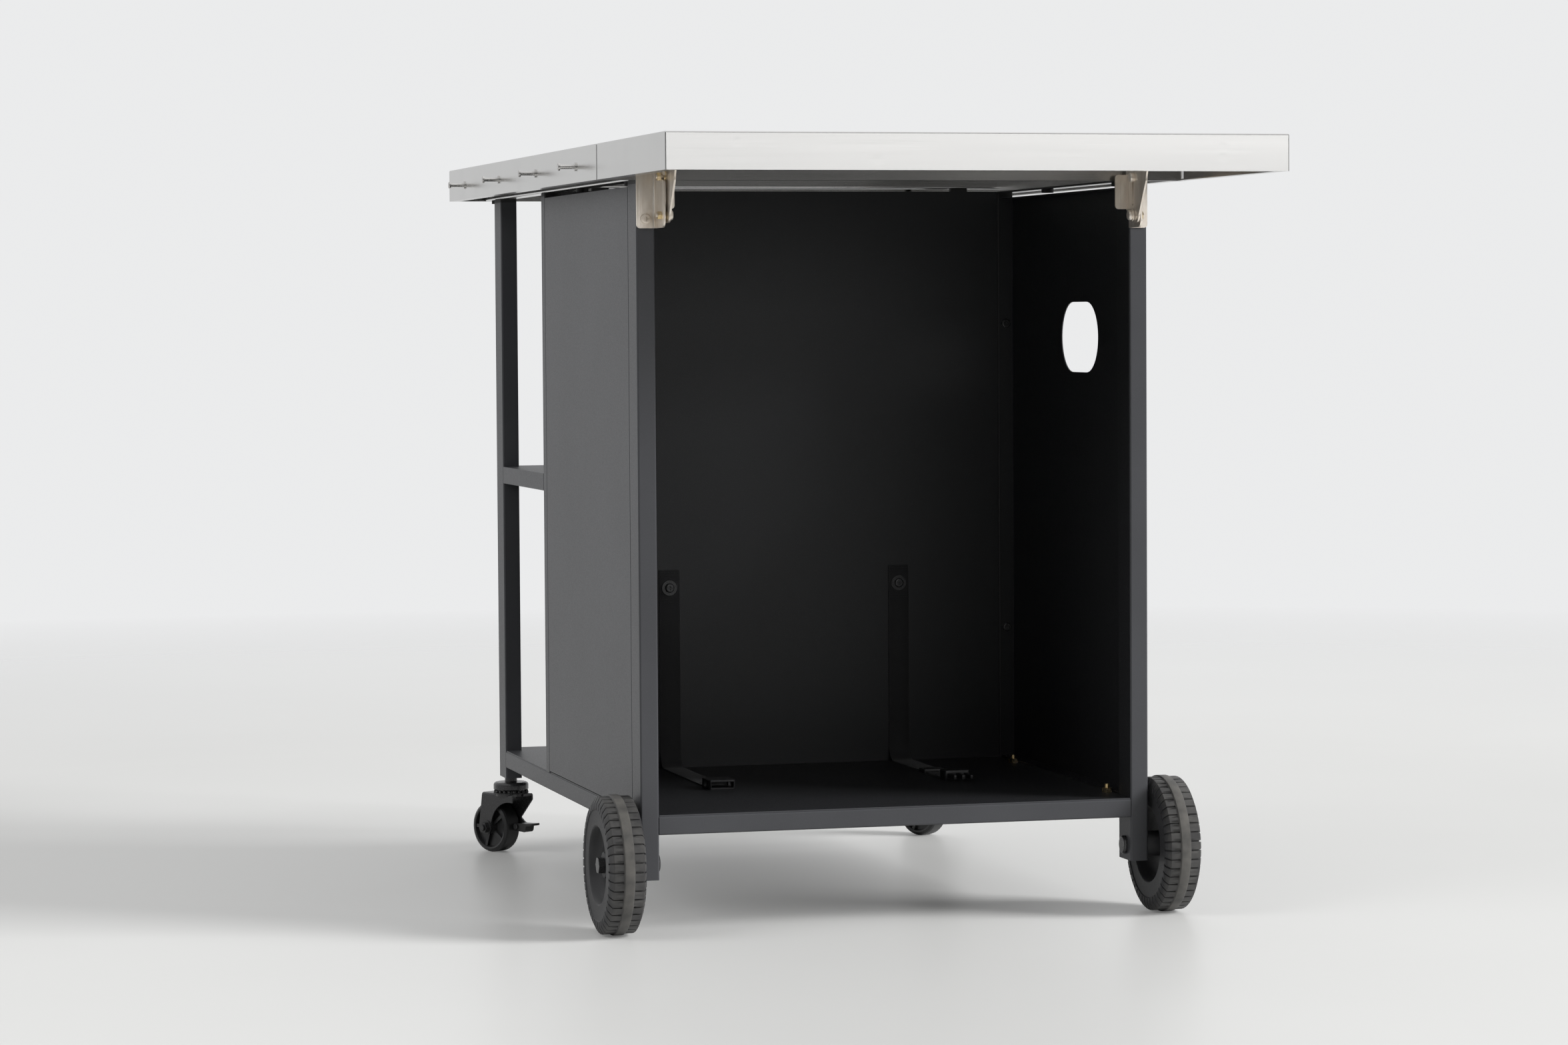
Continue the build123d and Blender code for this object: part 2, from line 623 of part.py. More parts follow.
def leaf_arm():
    rear_y = FRONT - ARM_REAR
    low = PIVOT_Z - ARM_END_R
    tip_y = PIVOT_Y - ARM_END_AHEAD
    corner_y = tip_y + ARM_END_R
    turn = ARM_END_R * sin(radians(45))
    neck = (FRONT - ARM_NECK_Y, ARM_NECK_Z)
    bend = (FRONT - ARM_BEND_Y, TOP_UNDER - ARM_WEB_H)
    elbow = (neck[0] - 6.0, bend[1] - 5.0)
    outline = [
        Line((rear_y, TOP_UNDER), (rear_y, ARM_RETURN_Z0)),
        Line((rear_y, ARM_RETURN_Z0), (PIVOT_Y + ARM_END_BEHIND, low)),
        Line((PIVOT_Y + ARM_END_BEHIND, low), (corner_y, low)),
        ThreePointArc((corner_y, low), (corner_y - turn, PIVOT_Z - turn), (tip_y, PIVOT_Z)),
        Line((tip_y, PIVOT_Z), neck),
        ThreePointArc(neck, elbow, bend),
        Line(bend, (FRONT - ARM_TIP_Y, TOP_UNDER - ARM_TIP_H)),
        Line((FRONT - ARM_TIP_Y, TOP_UNDER - ARM_TIP_H), (FRONT - ARM_TIP_Y, TOP_UNDER)),
        Line((FRONT - ARM_TIP_Y, TOP_UNDER), (rear_y, TOP_UNDER)),
    ]
    web = Pos(ARM_OUT, 0, 0) * extrude(Plane.YZ * make_face(outline), ARM_T)
    web -= rod_x(ARM_OUT - 1, ARM_IN + 1, PIVOT_Y, PIVOT_Z, BOLT_R + RUN_FIT)
    slot_half = BOLT_R + HOLE_SLIP
    slot_z = PIVOT_Z + ARM_SLOT_RISE
    web -= block(ARM_OUT - 1, ARM_IN + 1, PIVOT_Y - slot_half, PIVOT_Y + slot_half, slot_z, LOCK_Z)
    for z in (slot_z, LOCK_Z):
        web -= rod_x(ARM_OUT - 1, ARM_IN + 1, PIVOT_Y, z, slot_half)
    back = block(ARM_OUT, ARM_IN + ARM_RETURN_W, rear_y - ARM_T, rear_y, ARM_RETURN_Z0, ARM_RETURN_Z1)
    back = fillet(back.edges().filter_by(Axis.Y).group_by(Axis.X)[-1], ARM_RETURN_CORNER)
    tab_y = (FRONT - ARM_TIP_Y, FRONT - ARM_BEND_Y)
    tab = block(ARM_OUT, ARM_IN + ARM_FLANGE_W, *tab_y, TOP_UNDER - ARM_T, TOP_UNDER)
    return web + back + tab


def front_wheel():
    half = WHEEL_W / 2
    tread_r = WHEEL_R - TREAD_DROP
    rim_a = half - RIM_SINK
    hub_in = half + WHEEL_GAP - SIDE_PLAY
    bore = AXLE_R + RUN_FIT
    side = [
        (HUB_R, WEB_HALF),
        (DISH_FLOOR_R, WEB_HALF),
        (DISH_R, rim_a),
        (RIM_R, rim_a),
        (RIM_R + 0.8, half),
        (SIDEWALL_R, half),
        (tread_r, SHOULDER_HALF),
        (tread_r, RIB_HALF + 0.6),
        (WHEEL_R, RIB_HALF),
    ]
    outer = [(-a, r) for r, a in side]
    inner = [(a, r) for r, a in reversed(side)]
    hub_outer = [(-HUB_OUTER_HALF, bore), (-HUB_OUTER_HALF, HUB_R)]
    hub_inner = [(hub_in, HUB_R), (hub_in, bore)]
    profile = make_face(Polyline(*hub_outer, *outer, *inner, *hub_inner, close=True))
    for radius, curve in ((DISH_R, DISH_EDGE_R), (DISH_FLOOR_R, DISH_CURVE_R)):
        profile = fillet([v for v in profile.vertices() if abs(v.Y - radius) < 0.01], curve)
    wheel = revolve(profile, Axis.X)
    over = WHEEL_R + 2
    gap = [
        (RIB_HALF + 1.0, over),
        (RIB_HALF + 1.0, tread_r - LUG_DEPTH),
        (SHOULDER_HALF - 1.0, tread_r - LUG_DEPTH),
        (half - SIDE_LUG_DEPTH, SIDEWALL_R - LUG_DEPTH),
        (half - SIDE_LUG_DEPTH, RIM_R + 1.2),
        (half + 2, RIM_R + 1.2),
        (half + 2, over),
    ]
    cutter = extrude(make_face(Polyline(*gap, close=True)), LUG_GAP / 2, both=True)
    pair = [cutter, mirror(cutter, about=Plane.YZ)]
    turns = [Rot(360 * i / LUG_COUNT, 0, 0) for i in range(LUG_COUNT)]
    return wheel - [turn * one for turn in turns for one in pair]


def wheel_left():
    return Pos(LEFT - WHEEL_GAP - WHEEL_W / 2, AXLE_Y, WHEEL_R) * front_wheel()


def axle_bolts():
    centre = LEFT - WHEEL_GAP - WHEEL_W / 2
    nut_x1 = centre - HUB_OUTER_HALF - SIDE_PLAY
    nut_x0 = nut_x1 - AXLE_NUT_L
    bolt = rod_x(nut_x0, INNER_LEFT, AXLE_Y, WHEEL_R, AXLE_R)
    bolt += domed_x(INNER_LEFT, INNER_LEFT + AXLE_HEAD_L, AXLE_Y, WHEEL_R, AXLE_HEAD_R, -1)
    nut = hex_x(nut_x0, nut_x1, AXLE_Y, WHEEL_R, AXLE_NUT_W)
    nut -= rod_x(nut_x0 - 1, nut_x1 + 1, AXLE_Y, WHEEL_R, AXLE_R + RUN_FIT)
    return both_sides([bolt, nut])


def placed_caster(shape):
    return Pos(LEFT + LEG_W / 2, STEM_Y, 0) * Rot(0, 0, 90 + CASTER_TURN) * shape


def caster_stem():
    boss_z = FORK_TOP_Z + SIDE_PLAY
    pin_z = FORK_TOP_Z - FORK_PLATE_T - SIDE_PLAY
    profile = Polyline(
        (0, pin_z - KING_HEAD_H),
        (KING_HEAD_R, pin_z - KING_HEAD_H),
        (KING_HEAD_R, pin_z),
        (KING_PIN_R, pin_z),
        (KING_PIN_R, boss_z),
        (RACE_IN_R - 1, boss_z),
        (RACE_IN_R - 1, CUP_Z1 - 3 * CUP_WALL),
        (CUP_R - CUP_WALL, CUP_Z1 - 3 * CUP_WALL),
        (CUP_R - CUP_WALL, CUP_Z0),
        (CUP_R, CUP_Z0),
        (CUP_R, CUP_Z1),
        (STEM_R, CUP_Z1),
        (STEM_R, REAR_FOOT_Z),
        (AXLE_R, REAR_FOOT_Z),
        (AXLE_R, REAR_FOOT_Z + STEM_RISE),
        (0, REAR_FOOT_Z + STEM_RISE),
        close=True,
    )
    face = make_face(profile)
    brim = [v for v in face.vertices() if abs(v.X - CUP_R) < 0.01 and abs(v.Y - CUP_Z1) < 0.01]
    return revolve(Plane.XZ * fillet(brim, CUP_EDGE_R), Axis.Z)


def open_cheek():
    # The side without the brake, cut away in an arch over the wheel.
    outline = Polyline(
        (-FORK_FRONT, FORK_TOP_Z),
        (FORK_REAR, FORK_TOP_Z),
        (FORK_EYE_U + FORK_EYE_R, FORK_EYE_Z),
        (-FORK_FRONT, FORK_EYE_Z),
        close=True,
    )
    arch = Pos(-FORK_ARCH_U, CASTER_WHEEL_R) * Circle(FORK_ARCH_R)
    return make_face(outline) - arch + Pos(FORK_EYE_U, FORK_EYE_Z) * Circle(FORK_EYE_R)


def brake_cheek():
    # The side that runs on past the wheel to the pin of the brake pedal.
    outline = Polyline(
        (-FORK_NOSE_U, FORK_TOP_Z),
        (FORK_REAR, FORK_TOP_Z),
        (FORK_EYE_U + FORK_EYE_R, FORK_EYE_Z),
        (FORK_EYE_U, FORK_EYE_Z - FORK_EYE_R),
        (-PEDAL_PIN_U, PEDAL_PIN_Z - PEDAL_LOBE_R),
        (-PEDAL_PIN_U, PEDAL_PIN_Z + PEDAL_LOBE_R),
        (-FORK_WAIST_U, FORK_WAIST_Z),
        (-FORK_NOSE_U, FORK_NOSE_Z),
        close=True,
    )
    eye = Pos(FORK_EYE_U, FORK_EYE_Z) * Circle(FORK_EYE_R)
    lobe = Pos(-PEDAL_PIN_U, PEDAL_PIN_Z) * Circle(PEDAL_LOBE_R)
    return make_face(outline) + eye + lobe


def caster_fork():
    under = FORK_TOP_Z - FORK_PLATE_T
    out = FORK_HALF + FORK_SIDE_T
    low = FORK_EYE_Z - 2 * FORK_EYE_R
    span = (-2 * FORK_NOSE_U, 2 * FORK_REAR)
    shell = block(*span, -out, out, low, FORK_TOP_Z)
    shell = fillet(shell.edges().filter_by(Axis.X).group_by(Axis.Z)[-1], FORK_BEND_R)
    shell -= block(*span, -FORK_HALF, FORK_HALF, low, under)
    open_side = extrude(Plane.XZ * open_cheek(), -out)
    brake_side = extrude(Plane.XZ * brake_cheek(), out)
    fork = (shell & open_side) + (shell & brake_side)
    fork += rod_z(0, 0, under, FORK_TOP_Z, CUP_R - CUP_WALL)
    race = rod_z(0, 0, FORK_TOP_Z, FORK_TOP_Z + RACE_H, RACE_R)
    fork += race - rod_z(0, 0, FORK_TOP_Z, FORK_TOP_Z + RACE_H, RACE_IN_R)
    fork -= rod_y(CASTER_TRAIL, -out - 1, out + 1, CASTER_WHEEL_R, CASTER_AXLE_R + HOLE_SLIP)
    fork -= rod_y(-PEDAL_PIN_U, -out - 1, 0, PEDAL_PIN_Z, PEDAL_PIN_R + HOLE_SLIP)
    return fork - rod_z(0, 0, under - 1, FORK_TOP_Z + RACE_H + 1, KING_PIN_R + RUN_FIT)


def caster_axle():
    reach = FORK_HALF + FORK_SIDE_T
    nut_y = reach + CASTER_WASHER_T
    end = nut_y + CASTER_NUT_L + CASTER_AXLE_END
    nut_face = Plane.XZ * RegularPolygon(CASTER_NUT_W / 2, 6, major_radius=False)
    nut = extrude(nut_face, CASTER_NUT_L / 2, both=True)
    middle = nut_y + CASTER_NUT_L / 2
    axle = rod_y(CASTER_TRAIL, -end + CASTER_AXLE_END, end, CASTER_WHEEL_R, CASTER_AXLE_R)
    for y in (-middle, middle):
        axle += Pos(CASTER_TRAIL, y, CASTER_WHEEL_R) * nut
    for y0 in (-nut_y, reach):
        axle += rod_y(CASTER_TRAIL, y0, y0 + CASTER_WASHER_T, CASTER_WHEEL_R, CASTER_WASHER_R)
    return axle


def caster_wheel():
    half = CASTER_WHEEL_W / 2
    hub = FORK_HALF - SIDE_PLAY
    shoulder = CASTER_WHEEL_R - CASTER_TREAD_R
    side = [
        (CASTER_AXLE_R + RUN_FIT, hub),
        (CASTER_HUB_R - 1, hub),
        (CASTER_HUB_R, half - CASTER_SINK),
        (CASTER_RIM_R, half - CASTER_SINK),
        (CASTER_RIM_R + 1, half - 0.5),
        (shoulder, half),
        (CASTER_WHEEL_R - 0.25 * CASTER_TREAD_R, half - 0.4 * CASTER_TREAD_R),
        (CASTER_WHEEL_R, half - CASTER_TREAD_R),
    ]
    upper = [(r, a) for r, a in side]
    lower = [(r, -a) for r, a in reversed(side)]
    wheel = revolve(make_face(Polyline(*upper, *lower, close=True)), Axis.Y)
    span = CASTER_RIM_R - CASTER_HUB_R + 2
    spoke_mid = (CASTER_RIM_R + CASTER_HUB_R) / 2
    spoke = Pos(spoke_mid, 0, 0) * Box(span, 2 * (half - 1.5), CASTER_SPOKE_W)
    for i in range(CASTER_SPOKES):
        wheel += Rot(0, 360 * i / CASTER_SPOKES, 0) * spoke
    return Pos(CASTER_TRAIL, 0, CASTER_WHEEL_R) * wheel


def brake_pedal():
    u = -PEDAL_PIN_U
    z = PEDAL_PIN_Z
    tip = u - PEDAL_REACH
    tip_z = z + PEDAL_TIP_RISE
    toe_z = z - PEDAL_TOE_DROP
    lever = Polyline(
        (u, z + PEDAL_HUB_R),
        (u - PEDAL_BLOCK, tip_z - 1),
        (tip, tip_z),
        (tip, tip_z - PEDAL_TIP_T),
        (u - PEDAL_BLOCK - 1, tip_z - PEDAL_TIP_T - 1.5),
        (u - PEDAL_BLOCK, toe_z + 1),
        (u - PEDAL_BLOCK + 2, toe_z - 1),
        (u + PEDAL_TOE, toe_z),
        (u + PEDAL_HUB_R, z),
        close=True,
    )
    sketch = make_face(lever) + Pos(u, z) * Circle(PEDAL_HUB_R)
    y0 = SIDE_PLAY - FORK_HALF
    pedal = Pos(0, y0, 0) * extrude(Plane.XZ * sketch, -PEDAL_W)
    pedal = fillet(pedal.edges().filter_by(Axis.Z).group_by(Axis.X)[0], PEDAL_CORNER_R)
    return pedal - rod_y(u, y0 - 1, y0 + PEDAL_W + 1, z, PEDAL_PIN_R + RUN_FIT)


def pedal_pin():
    rear_y = -FORK_HALF - FORK_SIDE_T
    end = PEDAL_W + 2 * SIDE_PLAY - FORK_HALF
    pin = rod_y(-PEDAL_PIN_U, rear_y, end, PEDAL_PIN_Z, PEDAL_PIN_R)
    for y0 in (rear_y - PEDAL_PIN_HEAD_L, end):
        pin += rod_y(-PEDAL_PIN_U, y0, y0 + PEDAL_PIN_HEAD_L, PEDAL_PIN_Z, PEDAL_PIN_HEAD_R)
    return pin


def strap_half(side):
    face = PARTITION_Y
    bend = STRAP_BEND_R
    end_y = face - STRAP_RUN
    low = FLOOR_Z
    top_z = STRAP_ANCHOR_Z + STRAP_TAB
    turn = bend * sin(radians(45))
    inner_r = bend - STRAP_T
    inner_turn = inner_r * sin(radians(45))
    centre = (face - bend, low + bend)
    outline = [
        Line((face, top_z), (face, low + bend)),
        ThreePointArc((face, low + bend), (centre[0] + turn, centre[1] - turn), (face - bend, low)),
        Line((face - bend, low), (end_y, low)),
        Line((end_y, low), (end_y, low + STRAP_T)),
        Line((end_y, low + STRAP_T), (face - bend, low + STRAP_T)),
        ThreePointArc(
            (face - bend, low + STRAP_T),
            (centre[0] + inner_turn, centre[1] - inner_turn),
            (face - STRAP_T, low + bend),
        ),
        Line((face - STRAP_T, low + bend), (face - STRAP_T, top_z)),
        Line((face - STRAP_T, top_z), (face, top_z)),
    ]
    x = X_MID + side * STRAP_SPREAD
    strap = Pos(x, 0, 0) * extrude(Plane.YZ * make_face(outline), STRAP_W / 2, both=True)
    return strap - rod_y(x, face - STRAP_T - 1, face + 1, STRAP_ANCHOR_Z, SCREW_R + HOLE_SLIP)


def strap_screws():
    face = PARTITION_Y - STRAP_T
    washer_y = face - WASHER_T
    x = X_MID - STRAP_SPREAD
    screw = rod_y(x, washer_y, washer_y + SCREW_LENGTH, STRAP_ANCHOR_Z, SCREW_R)
    screw += rod_y(x, washer_y, face, STRAP_ANCHOR_Z, STRAP_WASHER_R)
    return both_sides([screw + screw_head(x, washer_y, STRAP_ANCHOR_Z, -1)])


def buckle_socket():
    x = X_MID - STRAP_SPREAD
    y1 = PARTITION_Y - STRAP_RUN
    y0 = y1 - BUCKLE_L
    z1 = FLOOR_Z + BUCKLE_H
    body = block(x - BUCKLE_W / 2, x + BUCKLE_W / 2, y0, y1, FLOOR_Z, z1)
    body = fillet(body.edges().filter_by(Axis.Z), BUCKLE_WALL * 2)
    mouth = BUCKLE_W / 2 - 2 * BUCKLE_WALL
    body -= block(x - mouth, x + mouth, y0, y1 - 3 * BUCKLE_WALL, FLOOR_Z + BUCKLE_WALL, z1 - BUCKLE_WALL)
    window = (y0 + 0.35 * BUCKLE_L, y0 + 0.72 * BUCKLE_L)
    return body - block(x - BUCKLE_W, x + BUCKLE_W, *window, FLOOR_Z + BUCKLE_WALL, z1 - BUCKLE_WALL)


def buckle_clip():
    x = X_MID + STRAP_SPREAD
    y1 = PARTITION_Y - STRAP_RUN
    y0 = y1 - CLIP_L
    z1 = FLOOR_Z + BUCKLE_H
    body = block(x - BUCKLE_W / 2, x + BUCKLE_W / 2, y0, y1, FLOOR_Z, z1)
    body = fillet(body.edges().filter_by(Axis.Z), BUCKLE_WALL * 2)
    prong_z = FLOOR_Z + (BUCKLE_H - PRONG_H) / 2
    reach = BUCKLE_W / 2 - 2.5 * BUCKLE_WALL
    for x0 in (x - reach, x + reach - PRONG_W):
        prong = block(x0, x0 + PRONG_W, y0 - PRONG_L, y0, prong_z, prong_z + PRONG_H)
        body += fillet(prong.edges().filter_by(Axis.Z).group_by(Axis.Y)[0], PRONG_W / 3)
    return body + block(x - GUIDE_W / 2, x + GUIDE_W / 2, y0 - PRONG_L, y0, prong_z, prong_z + PRONG_H)


def strap_slider():
    x = X_MID + STRAP_SPREAD
    y0 = PARTITION_Y - STRAP_RUN + SLIDER_BACK
    bar = block(x - BUCKLE_W / 2, x + BUCKLE_W / 2, y0, y0 + SLIDER_L, FLOOR_Z, FLOOR_Z + STRAP_T + SLIDER_T)
    bar = fillet(bar.edges().filter_by(Axis.Z), BUCKLE_WALL)
    half = STRAP_W / 2 + HOLE_SLIP
    under = FLOOR_Z + STRAP_T
    bar -= block(x - half, x + half, y0, y0 + SLIDER_L, FLOOR_Z, under)
    window = 0.22 * SLIDER_L
    for y in (y0 + 0.16 * SLIDER_L, y0 + 0.62 * SLIDER_L):
        bar -= block(x - half + 2, x + half - 2, y, y + window, under, under + SLIDER_T)
    return bar


def save(shape, name):
    export_step(shape, "parts/" + name + ".step")


def save_pair(shape, name):
    save(shape, name + "_left")
    save(mirrored(shape), name + "_right")


os.makedirs("parts", exist_ok=True)

# Frame
save_pair(front_leg(), "front_leg")
save_pair(rear_leg(), "rear_leg")
save_pair(mid_post(), "mid_post")
save_pair(base_rail_side(), "base_rail")
save(base_rail_cross(FRONT), "base_rail_front")
save(base_rail_cross(REAR - RAIL_H), "base_rail_rear")
save(crossbars(), "shelf_crossbars")
axle_bore = rod_x(LEFT, INNER_LEFT, AXLE_Y, WHEEL_R, AXLE_R + HOLE_SLIP)
stem_bore = rod_z(LEFT + LEG_W / 2, STEM_Y, REAR_FOOT_Z, REAR_FOOT_Z + PLUG_DEPTH, AXLE_R + HOLE_SLIP)
save(both_sides([leg_plug(FRONT, FRONT_FOOT_Z, axle_bore)]), "leg_plugs")
save(both_sides([leg_plug(REAR - LEG_D, REAR_FOOT_Z, stem_bore)]), "caster_sockets")

# Shelves and panels
save(bottom_shelf(), "bottom_shelf")
save(shelf_bolts(), "shelf_bolts")
save(mid_shelf(), "mid_shelf")
save(partition_panel(), "partition_panel")
save(side_skin(), "side_panel_left")
save(mirrored(side_skin()) - hose_hole(), "side_panel_right")
save(panel_flanges(), "panel_flanges")
save(panel_screws(), "panel_screws")

# Worktop
save(main_top(), "main_top")
save_pair(top_stiffener(), "top_stiffener")
save(cross_stiffener(), "cross_stiffener")
save(leg_pads(), "leg_pads")
save(bumpers(), "stiffener_bumpers")
save(tool_pegs(), "tool_pegs")

# Drop leaf
save(leaf_top(), "leaf_top")
save_pair(leaf_arm(), "leaf_arm")
save_pair(leaf_bracket(), "leaf_bracket")
save(bracket_screws(), "bracket_screws")
save(pivot_bolts(), "pivot_bolts")
save(pivot_nuts(), "pivot_nuts")
save(lock_bolts(), "lock_bolts")
save(lock_nuts(), "lock_nuts")

# Front wheels
save_pair(wheel_left(), "front_wheel")
save(axle_bolts(), "axle_bolts")

# Casters, both turned the same way
for side_name, shift in (("left", 0.0), ("right", CABINET_W - LEG_W)):
    place = Pos(shift, 0, 0)
    save(place * placed_caster(caster_stem()), "caster_stem_" + side_name)
    save(place * placed_caster(caster_fork()), "caster_fork_" + side_name)
    save(place * placed_caster(caster_axle()), "caster_axle_" + side_name)
    save(place * placed_caster(caster_wheel()), "caster_wheel_" + side_name)
    save(place * placed_caster(brake_pedal()), "brake_pedal_" + side_name)
    save(place * placed_caster(pedal_pin()), "pedal_pin_" + side_name)

# Bottle strap, hanging open
save(strap_half(-1), "tank_strap_left")
save(strap_half(1), "tank_strap_right")
save(strap_screws(), "strap_screws")
save(buckle_socket(), "buckle_socket")
save(buckle_clip(), "buckle_clip")
save(strap_slider(), "strap_slider")
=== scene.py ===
"""Dresses the rolling grill table: camera, studio, finishes and the fine pieces the solids leave out."""

from __future__ import annotations

import json
import logging
import math
from dataclasses import dataclass
from enum import Enum

import bpy
from mathutils import Matrix, Vector

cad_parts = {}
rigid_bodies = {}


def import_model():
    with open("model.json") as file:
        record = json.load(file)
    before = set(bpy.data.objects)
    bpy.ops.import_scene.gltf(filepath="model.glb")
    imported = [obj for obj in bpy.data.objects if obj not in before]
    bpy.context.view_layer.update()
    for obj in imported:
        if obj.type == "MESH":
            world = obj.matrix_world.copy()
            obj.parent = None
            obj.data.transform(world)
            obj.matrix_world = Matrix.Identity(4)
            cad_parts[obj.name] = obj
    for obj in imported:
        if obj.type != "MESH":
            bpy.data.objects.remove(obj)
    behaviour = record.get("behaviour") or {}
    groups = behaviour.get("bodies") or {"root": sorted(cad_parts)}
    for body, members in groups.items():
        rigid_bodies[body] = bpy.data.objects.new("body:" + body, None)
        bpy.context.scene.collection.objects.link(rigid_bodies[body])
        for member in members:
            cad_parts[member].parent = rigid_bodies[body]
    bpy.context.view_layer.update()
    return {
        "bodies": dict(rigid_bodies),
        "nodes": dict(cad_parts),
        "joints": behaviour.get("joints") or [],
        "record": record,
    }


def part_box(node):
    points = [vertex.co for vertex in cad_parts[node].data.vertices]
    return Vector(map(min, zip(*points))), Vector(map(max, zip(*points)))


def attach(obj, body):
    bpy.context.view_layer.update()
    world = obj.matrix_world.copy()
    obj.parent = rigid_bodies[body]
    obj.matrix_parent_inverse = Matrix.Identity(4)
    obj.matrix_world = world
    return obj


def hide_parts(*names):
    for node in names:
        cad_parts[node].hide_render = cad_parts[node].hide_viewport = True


LOG = logging.getLogger("grill_table")
MM = 0.001
Colour = tuple[float, float, float]
Point = tuple[float, float, float]
Socket = tuple[bpy.types.Node, str | int]
WELD_MARKS = (
    (-0.2459, -0.5765, 0.8294),
    (-0.1012, -0.5765, 0.8122),
    (0.2643, -0.5765, 0.8261),
    (0.2643, -0.5765, 0.816),
)
# Box round the bay; the charcoal coat is darkened inside it as painted shade.
SHADED_BAY_BOX = ((-0.2755, -0.262, 0.1275), (0.2935, 0.207, 0.806))
FRONT_AXLE = (0.0, -0.2445, 0.075)
CASTERS = {"swivel_left": (-0.266, 0.4855), "swivel_right": (0.284, 0.4855)}
LUG_EDGE = 0.55 * MM
STRAP_FITTINGS = ("buckle_clip", "buckle_socket", "strap_slider")
FITTING_EDGE = 0.25 * MM
FITTING_WIDTH = 0.65


class Grain(Enum):
    """Direction in which a metal sheet was brushed."""

    ALONG_X = (6.0, 1500.0, 1500.0)
    ALONG_Y = (1500.0, 6.0, 1500.0)
    ALONG_Z = (1500.0, 1500.0, 6.0)
    NONE = (260.0, 260.0, 260.0)


class Wiring:
    """Adds and joins the nodes of one node tree."""

    def __init__(self, tree: bpy.types.NodeTree) -> None:
        """Starts from an empty tree.

        Args:
            tree: the tree of a material or of the world.
        """
        self.tree = tree
        self.tree.nodes.clear()
        self.place = self.add("ShaderNodeTexCoord")

    def add(self, kind: str, **inputs: object) -> bpy.types.Node:
        """Adds a node and sets its inputs.

        Args:
            kind: the node's type name.
            inputs: values for its sockets, with spaces written as underscores.

        Returns:
            The new node.
        """
        node = self.tree.nodes.new(kind)
        for key, value in inputs.items():
            node.inputs[key.replace("_", " ")].default_value = value
        return node

    def link(self, source: bpy.types.Node, out: str | int, target: bpy.types.Node, into: str | int) -> None:
        """Joins one node's output to another's input.

        Args:
            source: the node that gives the value.
            out: its output.
            target: the node that takes the value.
            into: its input.
        """
        self.tree.links.new(source.outputs[out], target.inputs[into])

    def math(self, operation: str, first: Socket, second: Socket | float | None = None) -> bpy.types.Node:
        """Adds a Math node.

        Args:
            operation: the node's operation.
            first: a node and its output name.
            second: a node and its output name, or a plain number.

        Returns:
            The Math node.
        """
        node = self.add("ShaderNodeMath")
        node.operation = operation
        self.link(first[0], first[1], node, 0)
        if isinstance(second, tuple):
            self.link(second[0], second[1], node, 1)
        elif second is not None:
            node.inputs[1].default_value = second
        return node

    def span(
        self, source: Socket, low: float, high: float, start: float = 0.3, end: float = 0.7
    ) -> bpy.types.Node:
        """Maps a range of a value to a range of numbers.

        Args:
            source: a node and its output name.
            low: the value at start.
            high: the value at end.
            start: the lower end of the source's range.
            end: the upper end of the source's range.

        Returns:
            The Map Range node.
        """
        node = self.add("ShaderNodeMapRange")
        node.inputs["From Min"].default_value = start
        node.inputs["From Max"].default_value = end
        node.inputs["To Min"].default_value = low
        node.inputs["To Max"].default_value = high
        self.link(source[0], source[1], node, "Value")
        return node

    def axes(self, space: str) -> bpy.types.Node:
        """Splits a coordinate or direction into its three parts.

        Args:
            space: the output of the Texture Coordinate node.

        Returns:
            The Separate XYZ node.
        """
        node = self.add("ShaderNodeSeparateXYZ")
        self.link(self.place, space, node, "Vector")
        return node


class Shader(Wiring):
    """Wires the nodes of one material."""

    def __init__(self, name: str) -> None:
        """Starts a material with a Principled shader and Object coordinates.

        Args:
            name: the material's name.
        """
        self.material = bpy.data.materials.new(name)
        self.material.use_nodes = True
        super().__init__(self.material.node_tree)
        self.out = self.add("ShaderNodeOutputMaterial")
        self.skin = self.add("ShaderNodeBsdfPrincipled")
        self.link(self.skin, "BSDF", self.out, "Surface")

    def noise(self, scale: float, detail: float = 3.0, stretch: Point = (1.0, 1.0, 1.0)) -> bpy.types.Node:
        """Adds noise on Object coordinates.

        Args:
            scale: features for each metre.
            detail: octaves.
            stretch: factors along the axes.

        Returns:
            The noise node.
        """
        spread = self.add("ShaderNodeMapping", Scale=stretch)
        self.link(self.place, "Object", spread, "Vector")
        texture = self.add("ShaderNodeTexNoise", Scale=scale, Detail=detail)
        self.link(spread, "Vector", texture, "Vector")
        return texture

    def blend(self, factor: Socket, first: Colour | bpy.types.Node, second: Colour) -> bpy.types.Node:
        """Mixes two colours.

        Args:
            factor: a node and its output name.
            first: the colour at 0, or the Mix node that gives it.
            second: the colour at 1.

        Returns:
            The Mix node, with its colour on output 2.
        """
        node = self.add("ShaderNodeMix")
        node.data_type = "RGBA"
        if isinstance(first, bpy.types.Node):
            self.link(first, 2, node, 6)
        else:
            node.inputs[6].default_value = (*first, 1.0)
        node.inputs[7].default_value = (*second, 1.0)
        self.link(factor[0], factor[1], node, 0)
        return node

    def bump(
        self, height: Socket, strength: float, depth: float, under: bpy.types.Node | None = None
    ) -> bpy.types.Node:
        """Adds relief to the skin.

        Args:
            height: a node and its output name.
            strength: how much of it shows.
            depth: its depth in metres.
            under: a relief that this one lies on.

        Returns:
            The Bump node, already on the skin.
        """
        node = self.add("ShaderNodeBump", Strength=strength, Distance=depth)
        self.link(height[0], height[1], node, "Height")
        if under is not None:
            self.link(under, "Normal", node, "Normal")
        self.link(node, "Normal", self.skin, "Normal")
        return node


def shade(colour: Colour, factor: float) -> Colour:
    """Returns a colour made lighter or darker by a factor."""
    return (colour[0] * factor, colour[1] * factor, colour[2] * factor)


